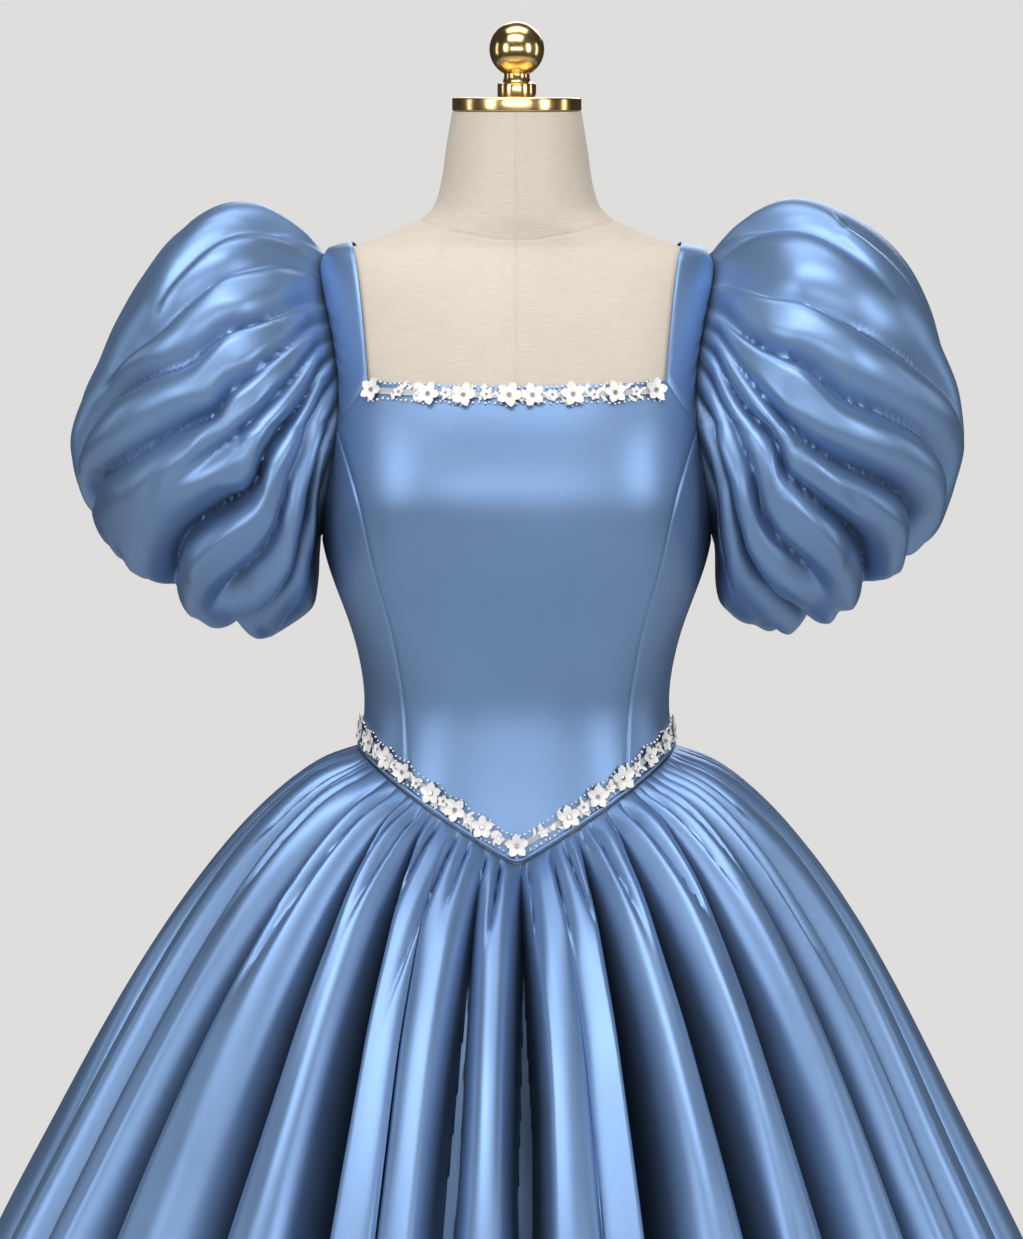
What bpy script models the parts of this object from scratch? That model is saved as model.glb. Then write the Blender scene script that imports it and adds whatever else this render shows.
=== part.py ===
"""A floor-length satin ball gown with puff sleeves, worn by a limbless dress form on a pole and base.

Metres, +Z up, the gown's front faces -Y. The origin is on the floor, in the middle of the stand's base.
Left and right are the gown's own sides, as its wearer would say, so left is +X.
"""
import math
from collections import namedtuple

import bmesh
import bpy
import numpy as np

# Cloth and seams
SATIN = 0.0017
SKIRT_SATIN = 0.0020
EASE = 0.0007
SEAM_GAP = 0.0003
SEAM_INSET = 0.0002

# Heights of the gown's lines above the floor
HEM_Z = 0.012
TIP_Z = 0.988
TIP_ROUND = 0.035
SIDE_WAIST_Z = 1.067
BACK_WAIST_Z = 1.060
NECKLINE_Z = 1.362
NECKLINE_LIFT = 0.003
BACK_NECKLINE_Z = 1.385
ARMHOLE_LOW_Z = 1.235
ARMHOLE_TOP_Z = 1.4625
STRAP_FOOT_Z = 1.327

# The straps, across the shoulder
STRAP_INNER_X_FOOT = 0.1155
STRAP_INNER_X_TOP = 0.131
ARMHOLE_SCOOP = 0.09

# The form's horizontal sections, from the underside up to the top of the neck
Section = namedtuple("Section", "z half_width front back squareness")
FORM = (
    Section(0.850, 0.1540, 0.1060, 0.1200, 2.30),
    Section(0.900, 0.1610, 0.1110, 0.1250, 2.30),
    Section(0.950, 0.1580, 0.1110, 0.1210, 2.30),
    Section(0.990, 0.1480, 0.1090, 0.1100, 2.25),
    Section(1.040, 0.1300, 0.1020, 0.0940, 2.20),
    Section(1.070, 0.1225, 0.0990, 0.0880, 2.20),
    Section(1.104, 0.1188, 0.0965, 0.0850, 2.20),
    Section(1.136, 0.1228, 0.1000, 0.0880, 2.25),
    Section(1.168, 0.1312, 0.1080, 0.0930, 2.30),
    Section(1.200, 0.1436, 0.1195, 0.0990, 2.40),
    Section(1.235, 0.1535, 0.1320, 0.1050, 2.55),
    Section(1.275, 0.1560, 0.1385, 0.1100, 2.70),
    Section(1.320, 0.1530, 0.1310, 0.1110, 2.70),
    Section(1.356, 0.1520, 0.1180, 0.1090, 2.60),
    Section(1.400, 0.1560, 0.1000, 0.1040, 2.50),
    Section(1.435, 0.1580, 0.0830, 0.0940, 2.40),
    Section(1.455, 0.1560, 0.0710, 0.0830, 2.30),
    Section(1.4625, 0.1500, 0.0655, 0.0760, 2.20),
    Section(1.470, 0.1240, 0.0610, 0.0700, 2.10),
    Section(1.480, 0.0960, 0.0600, 0.0665, 2.05),
    Section(1.490, 0.0740, 0.0600, 0.0640, 2.00),
    Section(1.500, 0.0650, 0.0595, 0.0615, 2.00),
    Section(1.520, 0.0595, 0.0575, 0.0570, 2.00),
    Section(1.542, 0.0564, 0.0550, 0.0545, 2.00),
    Section(1.5730, 0.0513, 0.0513, 0.0510, 2.00),
)
FORM_SIDES = 28
FORM_UNDER_CLOTH = 0.0019

# The princess seams of the front and of the back: how far each lies from the middle
Princess = namedtuple("Princess", "z front_x back_x")
PRINCESS = (
    Princess(0.990, 0.0800, 0.0560),
    Princess(1.060, 0.0850, 0.0600),
    Princess(1.100, 0.0870, 0.0620),
    Princess(1.160, 0.0960, 0.0680),
    Princess(1.220, 0.1110, 0.0800),
    Princess(1.275, 0.1230, 0.0980),
    Princess(1.327, 0.1395, 0.1395),
)

# How far the skirt stands out from the waist seam, by the height below it
Flare = namedtuple("Flare", "drop out")
SKIRT_FLARE = (
    Flare(0.000, 0.000),
    Flare(0.012, 0.033),
    Flare(0.030, 0.060),
    Flare(0.075, 0.105),
    Flare(0.160, 0.165),
    Flare(0.320, 0.251),
    Flare(0.400, 0.291),
    Flare(0.700, 0.428),
    Flare(1.055, 0.579),
)
# How deep the skirt's folds are, by the share of the way from the waist to the hem
Depth = namedtuple("Depth", "share deep")
SKIRT_FOLD_DEPTH = (
    Depth(0.00, 0.0004),
    Depth(0.03, 0.0070),
    Depth(0.08, 0.0150),
    Depth(0.20, 0.0300),
    Depth(0.40, 0.0470),
    Depth(0.70, 0.0600),
    Depth(1.00, 0.0700),
)
# The valleys between the folds, in degrees round from the front towards the left, and how deep each one is
Valley = namedtuple("Valley", "waist hem deep")
SKIRT_VALLEYS = (
    Valley(-82, -79, 0.70),
    Valley(-70, -69, 0.95),
    Valley(-56, -57, 1.15),
    Valley(-46, -42, 0.85),
    Valley(-38, -29, 0.80),
    Valley(-28, -17, 0.70),
    Valley(-17, -8, 1.40),
    Valley(1.5, 3, 1.20),
    Valley(17, 14, 0.60),
    Valley(29, 26, 1.05),
    Valley(41, 35, 0.60),
    Valley(51, 44, 0.95),
    Valley(59, 55, 0.65),
    Valley(67, 66, 1.00),
    Valley(79, 78, 0.85),
    Valley(94, 94, 1.10),
    Valley(110, 109, 0.80),
    Valley(125, 126, 1.15),
    Valley(142, 142, 0.80),
    Valley(161, 160, 1.20),
    Valley(180, 180, 1.00),
    Valley(199, 200, 1.20),
    Valley(217, 218, 0.85),
    Valley(234, 233, 1.15),
    Valley(250, 249, 0.80),
    Valley(264, 265, 1.10),
)
SKIRT_PANELS = (
    ("skirt_front", 5, 8),
    ("skirt_side_front_left", 8, 13),
    ("skirt_side_left", 13, 17),
    ("skirt_back_left", 17, 20),
    ("skirt_back_right", 20, 23),
    ("skirt_side_right", 23, 27),
    ("skirt_side_front_right", 27, 31),
)
SKIRT_COLUMNS = (0.0, 0.08, 0.26, 0.5, 0.74, 0.92)
SKIRT_ROWS = (0.0, 0.012, 0.04, 0.10, 0.21, 0.45, 1.0)
SETTLED = 0.35
SKIRT_LEAN = 0.007
FOLD_NECK = 0.070
SKIRT_OUT = 0.0001
SKIRT_UNDER = 0.0002
GATHER_REACH = 0.17

# The puff: its outline seen from the front, as a distance from its middle at each angle above the level line
Outline = namedtuple("Outline", "angle right left")
PUFF_OUTLINE = (
    Outline(-180, 0.110, 0.110),
    Outline(-140, 0.118, 0.118),
    Outline(-118, 0.139, 0.139),
    Outline(-107, 0.160, 0.158),
    Outline(-95, 0.171, 0.168),
    Outline(-82, 0.166, 0.164),
    Outline(-65, 0.157, 0.157),
    Outline(-45, 0.144, 0.144),
    Outline(-28, 0.141, 0.143),
    Outline(-10, 0.139, 0.142),
    Outline(6, 0.131, 0.137),
    Outline(22, 0.124, 0.133),
    Outline(38, 0.127, 0.140),
    Outline(54, 0.136, 0.151),
    Outline(70, 0.153, 0.162),
    Outline(90, 0.171, 0.172),
    Outline(106, 0.163, 0.163),
    Outline(120, 0.150, 0.150),
    Outline(180, 0.110, 0.110),
)
PUFF_MIDDLE = (0.215, 0.004, 1.331)
PUFF_HALF_DEPTH = 0.134
PUFF_TURN = math.radians(12)
CUFF_AIM = math.radians(-72)
BODY_AIM = math.radians(180)
CUFF_RING = 1.50
# How far the puff swells past its outline on the way to the cuff, where it turns up inside
Swell = namedtuple("Swell", "share size")
PUFF_SWELL = (
    Swell(0.00, 1.00),
    Swell(0.65, 1.00),
    Swell(0.83, 1.035),
    Swell(0.91, 1.010),
    Swell(1.00, 0.800),
)
ARMHOLE_BLEND = 0.40
STALK_END = 0.05
STALK = 0.0045
HOLE_SHRINK = 0.966
PUFF_CLEAR = 0.0058
# The valleys of one sleeve, in degrees round the armhole from its top towards the front, and their depth
Pleat = namedtuple("Pleat", "armhole cuff deep")
SLEEVE_VALLEYS = (
    Pleat(-8, -4, 0.80),
    Pleat(17, 18, 1.00),
    Pleat(36, 40, 0.85),
    Pleat(54, 59, 1.10),
    Pleat(70, 77, 1.25),
    Pleat(86, 95, 1.20),
    Pleat(103, 112, 1.30),
    Pleat(122, 131, 0.85),
    Pleat(146, 152, 0.55),
    Pleat(172, 174, 0.40),
    Pleat(198, 197, 0.45),
    Pleat(222, 219, 0.65),
    Pleat(243, 241, 0.90),
    Pleat(262, 262, 1.00),
    Pleat(281, 284, 1.20),
    Pleat(303, 305, 0.95),
    Pleat(328, 331, 1.05),
)
SLEEVE_FOLD_DEPTH = (
    Depth(0.00, 0.0008),
    Depth(0.05, 0.0035),
    Depth(0.20, 0.0110),
    Depth(0.50, 0.0165),
    Depth(0.75, 0.0185),
    Depth(0.90, 0.0070),
    Depth(1.00, 0.0008),
)
SLEEVE_COLUMNS = (0.0, 0.14, 0.50, 0.86)
SLEEVE_ROWS = (0.0, 0.05, 0.13, 0.24, 0.37, 0.53, 0.71, 0.88, 1.0)
CUFF_LENGTH = 0.018
CUFF_SIDES = 24

# Trims
TRIM_OFF = 0.0005
BINDING_LOW = 0.0006
BINDING_HIGH = 0.0041
BINDING_THICK = 0.0012
BRAID_BASE = 0.0010
FLOWER_RISE = 0.0022
WAIST_BRAID_MIDDLE = 0.0135
WAIST_BRAID_HALF = 0.0052
WAIST_FLOWERS = 29
NECK_BRAID_MIDDLE = -0.0075
NECK_BRAID_HALF = 0.0060
NECK_FLOWERS = 10
FLOWER_FLARE = 0.0036
COLUMNS_PER_FLOWER = 3
ZIP_HALF_WIDTH = 0.0016
ZIP_THICK = 0.0010

# The stand, the cap and the finial
CAP_RADIUS = 0.0512
CAP_THICK = 0.0107
CAP_LIP = 0.0012
FINIAL_BALL = 0.0217
FINIAL_BALL_Z = 0.0377
POLE_RADIUS = 0.016
BASE_RADIUS = 0.190
BASE_THICK = 0.016
BASE_EDGE = 0.004
COLLAR_RADIUS = 0.030
COLLAR_TOP = 0.045
TURNED_SIDES = 30

FORM_LOW = FORM[0].z
FORM_TOP = FORM[-1].z


# Reading a table, smoothly and without overshoot
def slopes(x, y):
    step = np.diff(y) / np.diff(x)
    found = np.empty(len(x))
    found[0], found[-1] = step[0], step[-1]
    product = step[:-1] * step[1:]
    total = step[:-1] + step[1:]
    inner = np.where(product > 0, 2 * product / np.where(total == 0, 1, total), 0.0)
    found[1:-1] = inner
    return found


def read(table, key, column, at):
    x = np.array([getattr(row, key) for row in table], float)
    y = np.array([getattr(row, column) for row in table], float)
    m = slopes(x, y)
    at = np.clip(np.asarray(at, float), x[0], x[-1])
    i = np.clip(np.searchsorted(x, at, side="right") - 1, 0, len(x) - 2)
    width = x[i + 1] - x[i]
    t = (at - x[i]) / width
    rise = t * t * (3 - 2 * t)
    bend = width * (m[i] * t * (1 - t) ** 2 - m[i + 1] * t * t * (1 - t))
    return y[i] * (1 - rise) + y[i + 1] * rise + bend


def mix(a, b, share):
    return a + (b - a) * share


def smooth(share):
    share = np.clip(share, 0.0, 1.0)
    return share * share * (3 - 2 * share)


# The body of the form
def form_radius(turn, z):
    """How far the form reaches at a height, in a direction turned from the front towards the left."""
    half = read(FORM, "z", "half_width", z)
    deep = np.where(np.cos(turn) > 0, read(FORM, "z", "front", z), read(FORM, "z", "back", z))
    power = read(FORM, "z", "squareness", z)
    across = np.abs(np.sin(turn)) / half
    along = np.abs(np.cos(turn)) / deep
    return (across**power + along**power) ** (-1 / power)


def form_point(turn, z, out=0.0):
    turn, z = np.broadcast_arrays(turn, z)
    radius = form_radius(turn, z) + out
    return np.stack([radius * np.sin(turn), -radius * np.cos(turn), z * 1.0], axis=-1)


def turn_at(x, z, facing=1):
    """The direction in which the form's front (facing 1) or back (-1) has this x."""
    half = read(FORM, "z", "half_width", z)
    deep = read(FORM, "z", "front" if facing > 0 else "back", z)
    power = read(FORM, "z", "squareness", z)
    y = deep * np.clip(1 - (np.abs(x) / half) ** power, 0, None) ** (1 / power)
    return np.arctan2(x, facing * y)


def ridge_height(x):
    """The height of the shoulder line at this x."""
    z = np.linspace(1.45, 1.50, 400)
    half = read(FORM, "z", "half_width", z)
    falling = slice(int(np.argmax(half)), None)
    return np.interp(-np.abs(x), -half[falling], z[falling])


def waist_height(turn):
    """The waist seam: a V in front, almost level behind."""
    half = read(FORM, "z", "half_width", SIDE_WAIST_Z)
    share = np.clip(np.abs(form_radius(turn, SIDE_WAIST_Z) * np.sin(turn)) / half, 0, 1)
    rounded = (np.hypot(share, TIP_ROUND) - TIP_ROUND) / (math.hypot(1, TIP_ROUND) - TIP_ROUND)
    front = mix(TIP_Z, SIDE_WAIST_Z, rounded)
    back = mix(BACK_WAIST_Z, SIDE_WAIST_Z, share * share)
    return np.where(np.cos(turn) > 0, front, back)


# The armhole, a loop round the end of the shoulder; v runs from its top towards the front or the back
ARMHOLE_MIDDLE = (ARMHOLE_TOP_Z + ARMHOLE_LOW_Z) / 2
ARMHOLE_HALF = (ARMHOLE_TOP_Z - ARMHOLE_LOW_Z) / 2


def armhole_x(z):
    level = np.clip((z - ARMHOLE_MIDDLE) / ARMHOLE_HALF, -1, 1)
    return read(FORM, "z", "half_width", z) * (1 - ARMHOLE_SCOOP * (1 - level * level))


def armhole_place(v):
    """(turn, height) of the armhole for v in 0 to 2 pi."""
    z = ARMHOLE_MIDDLE + ARMHOLE_HALF * np.cos(v)
    x = armhole_x(z)
    turn = np.where(np.sin(v) >= 0, turn_at(x, z, 1), turn_at(x, z, -1))
    return turn, z


FOOT_V = math.acos((STRAP_FOOT_Z - ARMHOLE_MIDDLE) / ARMHOLE_HALF)


# Building walls and turned pieces
def unit(vectors):
    return vectors / np.maximum(np.linalg.norm(vectors, axis=-1, keepdims=True), 1e-12)


def heading(points, axis, around=False):
    """The direction in which a grid's lines run at each point, halfway between its two next stretches."""
    ahead = unit(np.roll(points, -1, axis=axis) - points)
    behind = np.roll(ahead, 1, axis=axis)
    if not around:
        ends = [slice(None)] * 3
        ends[axis] = -1
        before_last = list(ends)
        before_last[axis] = -2
        ahead[tuple(ends)] = ahead[tuple(before_last)]
        ends[axis] = 0
        behind[tuple(ends)] = ahead[tuple(ends)]
    return unit(ahead + behind)


def surface_normals(points, around=False):
    """Unit normals of a grid of points, from its neighbours. Columns run left to right, rows upwards."""
    return unit(np.cross(heading(points, 1, around), heading(points, 0)))


def new_object(name, mesh_data, material, smooth_angle=math.radians(50)):
    mesh = bpy.data.meshes.new(name)
    mesh_data.to_mesh(mesh)
    mesh_data.free()
    mesh.shade_smooth()
    mesh.set_sharp_from_angle(angle=smooth_angle)
    mesh.materials.append(material)
    piece = bpy.data.objects.new(name, mesh)
    bpy.context.scene.collection.objects.link(piece)
    return piece


def closed_mesh(outer, inner, around=False):
    """A closed wall from two grids of points that face each other."""
    build = bmesh.new()
    rows, columns = outer.shape[:2]
    front = [[build.verts.new(p) for p in row] for row in outer]
    back = [[build.verts.new(p) for p in row] for row in inner]
    spans = columns if around else columns - 1
    for i in range(rows - 1):
        for j in range(spans):
            k = (j + 1) % columns
            build.faces.new((front[i][j], front[i][k], front[i + 1][k], front[i + 1][j]))
            build.faces.new((back[i][j], back[i + 1][j], back[i + 1][k], back[i][k]))
    for j in range(spans):
        k = (j + 1) % columns
        build.faces.new((front[0][j], back[0][j], back[0][k], front[0][k]))
        build.faces.new((front[-1][j], front[-1][k], back[-1][k], back[-1][j]))
    if not around:
        for i in range(rows - 1):
            build.faces.new((front[i][0], front[i + 1][0], back[i + 1][0], back[i][0]))
            build.faces.new((front[i][-1], back[i][-1], back[i + 1][-1], front[i + 1][-1]))
    bmesh.ops.recalc_face_normals(build, faces=build.faces)
    return build


def drawn_in(points, inset):
    """The grid with its four edges drawn in a little, so that neighbours keep a seam's gap."""
    moved = points.copy()
    for edge, inner in ((0, 1), (-1, -2)):
        moved[edge] += unit(points[inner] - points[edge]) * inset
        moved[:, edge] += unit(points[:, inner] - points[:, edge]) * inset
    return moved


def fitted_panel(name, turn, z, material, lift=EASE, thick=SATIN, rise=0.0):
    """A panel that lies on the form at this grid of directions and heights. rise lifts its outside."""
    base = form_point(turn, z)
    normals = surface_normals(base)
    base = drawn_in(base, SEAM_INSET)
    inner = base + normals * lift
    outer = base + normals * (lift + thick + np.asarray(rise)[..., None])
    return new_object(name, closed_mesh(outer, inner), material)


def turned(name, profile, material, middle=(0.0, 0.0), sides=TURNED_SIDES):
    """A solid of revolution about a vertical line, from (radius, height) pairs, bottom to top."""
    build = bmesh.new()
    rings = []
    for radius, z in profile:
        ring = []
        for k in range(sides):
            angle = 2 * math.pi * k / sides
            x = middle[0] + radius * math.cos(angle)
            y = middle[1] + radius * math.sin(angle)
            ring.append(build.verts.new((x, y, z)))
        rings.append(ring)
    for low, high in zip(rings, rings[1:]):
        for k in range(sides):
            n = (k + 1) % sides
            build.faces.new((low[k], low[n], high[n], high[k]))
    build.faces.new(list(reversed(rings[0])))
    build.faces.new(rings[-1])
    return new_object(name, build, material, math.radians(30))


def material_of(name, colour, roughness, metallic=0.0):
    made = bpy.data.materials.new(name)
    made.use_nodes = True
    shader = made.node_tree.nodes["Principled BSDF"]
    shader.inputs["Base Color"].default_value = (*colour, 1.0)
    shader.inputs["Roughness"].default_value = roughness
    shader.inputs["Metallic"].default_value = metallic
    made.diffuse_color = (*colour, 1.0)
    return made


# The bodice
def coons(bottom, top, left, right, rows):
    """Directions and heights inside four edges, given as (turn, z) arrays; left and right run upwards."""
    t = np.asarray(rows)[:, None]
    s = np.linspace(0, 1, len(bottom[0]))[None, :]
    grids = []
    for low, high, west, east in zip(bottom, top, left, right):
        ruled = mix(low[None, :], high[None, :], t)
        west_bow = west[:, None] - mix(low[0], high[0], t)
        east_bow = east[:, None] - mix(low[-1], high[-1], t)
        grids.append(ruled + west_bow * (1 - s) + east_bow * s)
    return grids


def seam_line(column, facing, low_z, high_z, rows, side=1):
    z = mix(low_z, high_z, np.asarray(rows))
    x = read(PRINCESS, "z", column, z)
    return side * turn_at(x, z, facing), z


def waist_line(start, stop, count):
    turn = np.linspace(start, stop, count)
    return turn, waist_height(turn)


def princess_foot(column, facing):
    """Where a princess seam meets the waist seam: (turn, z)."""
    z = SIDE_WAIST_Z
    for _ in range(20):
        turn = float(turn_at(float(read(PRINCESS, "z", column, z)), z, facing))
        z = float(waist_height(turn))
    return turn, z


BODICE_ROWS = np.array([0.0, 0.035, 0.08, 0.16, 0.28, 0.42, 0.55, 0.67, 0.78, 0.87, 0.94, 1.0])
DIAGONAL_COLUMNS = 4
NECK_COLUMNS = 13
SIDE_COLUMNS = 6


def diagonal_seam(facing, corner_z, count):
    """From the neckline's corner out to the armhole, under the strap's foot: (turn, z)."""
    share = np.linspace(0, 1, count)
    foot_x = float(armhole_x(STRAP_FOOT_Z))
    z = mix(corner_z, STRAP_FOOT_Z, share)
    x = mix(STRAP_INNER_X_FOOT, foot_x, share)
    return turn_at(x, z, facing), z


def neckline_height(x):
    return NECKLINE_Z + NECKLINE_LIFT * (x / STRAP_INNER_X_FOOT) ** 2


def front_top_edge():
    corner_z = NECKLINE_Z + NECKLINE_LIFT
    x = np.linspace(-STRAP_INNER_X_FOOT, STRAP_INNER_X_FOOT, NECK_COLUMNS)
    z = neckline_height(x)
    neck = turn_at(x, z, 1), z
    out_turn, out_z = diagonal_seam(1, corner_z, DIAGONAL_COLUMNS)
    turn = np.concatenate([-out_turn[:0:-1], neck[0], out_turn[1:]])
    height = np.concatenate([out_z[:0:-1], neck[1], out_z[1:]])
    return turn, height


def build_front(satin):
    top = front_top_edge()
    foot, foot_z = princess_foot("front_x", 1)
    bottom = waist_line(-foot, foot, len(top[0]))
    left = seam_line("front_x", 1, foot_z, STRAP_FOOT_Z, BODICE_ROWS, side=1)
    right = (-left[0], left[1])
    turn, z = coons(bottom, top, right, left, BODICE_ROWS)
    fitted_panel("bodice_front", turn, z, satin)


def build_side_fronts(satin):
    foot, foot_z = princess_foot("front_x", 1)
    bottom = waist_line(foot, math.pi / 2, SIDE_COLUMNS)
    turn_top, z_top = armhole_place(np.linspace(FOOT_V, math.pi, SIDE_COLUMNS))
    inner = seam_line("front_x", 1, foot_z, STRAP_FOOT_Z, BODICE_ROWS)
    outer_z = mix(SIDE_WAIST_Z, ARMHOLE_LOW_Z, BODICE_ROWS)
    outer = (np.full_like(outer_z, math.pi / 2), outer_z)
    turn, z = coons(bottom, (turn_top, z_top), inner, outer, BODICE_ROWS)
    fitted_panel("bodice_side_front_left", turn, z, satin)
    fitted_panel("bodice_side_front_right", -turn[:, ::-1], z[:, ::-1], satin)


def build_backs(satin):
    foot, foot_z = princess_foot("back_x", -1)
    back_out = math.pi - ZIP_HALF_WIDTH / 0.09
    corner = diagonal_seam(-1, BACK_NECKLINE_Z, DIAGONAL_COLUMNS)
    x = np.linspace(STRAP_INNER_X_FOOT, ZIP_HALF_WIDTH, 7)
    z_neck = np.full_like(x, BACK_NECKLINE_Z)
    neck = turn_at(x, z_neck, -1), z_neck
    top = [np.concatenate([corner[i][:0:-1], neck[i]]) for i in (0, 1)]
    bottom = waist_line(foot, back_out, len(top[0]))
    seam = seam_line("back_x", -1, foot_z, STRAP_FOOT_Z, BODICE_ROWS)
    middle_z = mix(float(bottom[1][-1]), BACK_NECKLINE_Z, BODICE_ROWS)
    middle = turn_at(np.full_like(middle_z, ZIP_HALF_WIDTH), middle_z, -1), middle_z
    bottom[0][-1] = middle[0][0]
    turn, z = coons(bottom, top, seam, middle, BODICE_ROWS)
    fitted_panel("bodice_back_left", turn, z, satin)
    fitted_panel("bodice_back_right", -turn[:, ::-1], z[:, ::-1], satin)

    bottom = waist_line(math.pi / 2, foot, SIDE_COLUMNS)
    back_v = np.linspace(math.pi, 2 * math.pi - FOOT_V, SIDE_COLUMNS)
    turn_top, z_top = armhole_place(back_v)
    turn_top[0] = math.pi / 2
    outer_z = mix(SIDE_WAIST_Z, ARMHOLE_LOW_Z, BODICE_ROWS)
    outer = (np.full_like(outer_z, math.pi / 2), outer_z)
    turn, z = coons(bottom, (turn_top, z_top), outer, seam, BODICE_ROWS)
    fitted_panel("bodice_side_back_left", turn, z, satin)
    fitted_panel("bodice_side_back_right", -turn[:, ::-1], z[:, ::-1], satin)


def build_zip(tape):
    z = np.linspace(BACK_WAIST_Z + 0.001, BACK_NECKLINE_Z - 0.002, 10)[:, None]
    x = np.linspace(-1, 1, 3)[None, :] * (ZIP_HALF_WIDTH - SEAM_GAP)
    x, z = np.broadcast_arrays(x, z)
    turn = turn_at(x, z, -1)
    turn = np.where(turn < 0, turn + 2 * math.pi, turn)
    fitted_panel("zip_back", turn[:, ::-1], z, tape, thick=ZIP_THICK)


# The straps
STRAP_ROWS = (0.0, 0.20, 0.40, 0.58, 0.74, 0.87, 0.96, 1.0)
STRAP_COLUMNS = DIAGONAL_COLUMNS


def strap_grid(facing, corner_z):
    """(points) of a strap from its foot up to the shoulder line, inner edge first."""
    s = np.array(STRAP_ROWS)[:, None]
    t = np.linspace(0, 1, STRAP_COLUMNS)[None, :]
    climb = np.sin(s * math.pi / 2)
    foot_z = mix(corner_z, STRAP_FOOT_Z, t)
    inner_x = mix(STRAP_INNER_X_FOOT, STRAP_INNER_X_TOP, s)
    outer_x = armhole_x(mix(STRAP_FOOT_Z, ARMHOLE_TOP_Z, climb))
    x = mix(inner_x, outer_x, t)
    z = foot_z + (ridge_height(x) - foot_z) * climb
    half = read(FORM, "z", "half_width", z)
    deep = read(FORM, "z", "front" if facing > 0 else "back", z)
    power = read(FORM, "z", "squareness", z)
    y = deep * np.clip(1 - (x / half) ** power, 0, None) ** (1 / power)
    y[-1] = 0.0
    return np.stack([x, -facing * y, z], axis=-1)


def build_straps(satin):
    for facing, word, corner_z in ((1, "front", NECKLINE_Z + NECKLINE_LIFT), (-1, "back", BACK_NECKLINE_Z)):
        base = strap_grid(facing, corner_z)
        if facing < 0:
            base = base[:, ::-1]
        normals = surface_normals(base)
        normals[-1, :, 1] = 0.0
        normals[-1] = unit(normals[-1])
        base = drawn_in(base, SEAM_INSET)
        inner = base + normals * EASE
        outer = base + normals * (EASE + SATIN)
        flip = np.array([-1.0, 1.0, 1.0])
        new_object(f"strap_{word}_left", closed_mesh(outer, inner), satin)
        new_object(f"strap_{word}_right", closed_mesh(outer * flip, inner * flip), satin)


# The sleeves
ARMHOLE_POLE = complex(math.cos(BODY_AIM), math.sin(BODY_AIM))
CUFF_POLE = complex(math.cos(CUFF_AIM), math.sin(CUFF_AIM))
OVER_POLE = complex(math.cos((BODY_AIM + CUFF_AIM) / 2), math.sin((BODY_AIM + CUFF_AIM) / 2))
OVER_ANGLE = float(np.angle((OVER_POLE - ARMHOLE_POLE) / (OVER_POLE - CUFF_POLE)))


def puff_direction(place):
    """A unit direction from the puff's middle. The place is a complex number: its real part runs from the
    armhole's side to the cuff's, its imaginary part runs round them, from the top towards the front."""
    ratio = np.exp(np.conj(place) + 1j * OVER_ANGLE)
    w = (ARMHOLE_POLE - ratio * CUFF_POLE) / (1 - ratio + 1e-9)
    size = np.abs(w) ** 2
    x = 2 * w.real / (1 + size)
    z = 2 * w.imag / (1 + size)
    y = (size - 1) / (1 + size)
    c, s = math.cos(PUFF_TURN), math.sin(PUFF_TURN)
    return np.stack([x, c * y - s * z, s * y + c * z], axis=-1)


def puff_place(direction, near):
    """The place of a direction: the reverse of puff_direction. near is the imaginary part to stay close to."""
    c, s = math.cos(PUFF_TURN), math.sin(PUFF_TURN)
    x, y, z = np.moveaxis(unit(direction), -1, 0)
    y, z = c * y + s * z, c * z - s * y
    w = (x + 1j * z) / (1 - y)
    found = np.log((w - ARMHOLE_POLE) / (w - CUFF_POLE))
    around = OVER_ANGLE - found.imag
    around = around + 2 * math.pi * np.round((near - around) / (2 * math.pi))
    return found.real + 1j * around


def puff_reach(direction, side):
    aim = np.degrees(np.arctan2(direction[..., 2], direction[..., 0]))
    reach = read(PUFF_OUTLINE, "angle", side, aim)
    return direction * np.stack([reach, np.full_like(reach, PUFF_HALF_DEPTH), reach], axis=-1)


def puff_surface(u, v, v_cuff, depth, side):
    """The outside of the left sleeve's puff, or of the right one mirrored, with its folds cut in by depth.
    u runs from the armhole to the cuff; v and v_cuff are the angles round the two."""
    middle = np.array(PUFF_MIDDLE)
    turn, z = armhole_place(v)
    hole = form_point(turn, z)
    step = 1e-3
    across = form_point(turn + step, z) - form_point(turn - step, z)
    up = form_point(turn, z + step) - form_point(turn, z - step)
    away = unit(np.cross(across, up))
    centre = np.array([0.150, 0.0, ARMHOLE_MIDDLE])
    hole = centre + (hole - centre) * HOLE_SHRINK
    span = np.array([0.14, PUFF_HALF_DEPTH, 0.14])
    start = puff_place((hole - middle) / span, v)
    place = mix(start, CUFF_RING + 1j * v_cuff, u)
    d = puff_direction(place)
    swell = read(PUFF_SWELL, "share", "size", u)
    balloon = middle + puff_reach(d, side) * swell[..., None] - d * depth[..., None]
    begin = middle + puff_reach(puff_direction(start), side)
    rise = STALK * np.clip(u / STALK_END, 0, 1) + EASE
    hold = 1 - smooth(u / ARMHOLE_BLEND)
    points = balloon + (hole - begin) * hold[..., None] + away * (rise * hold)[..., None]
    return kept_clear(points, PUFF_CLEAR * smooth(u / STALK_END))


def kept_clear(points, margin):
    """Points that come nearer to the form than margin are moved out to it."""
    turn = np.arctan2(points[..., 0], -points[..., 1])
    radius = np.hypot(points[..., 0], points[..., 1])
    least = form_radius(turn, points[..., 2]) + margin
    scale = np.where((margin > 0) & (radius < least), least / radius, 1.0)
    return points * np.stack([scale, scale, np.ones_like(scale)], axis=-1)


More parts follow.
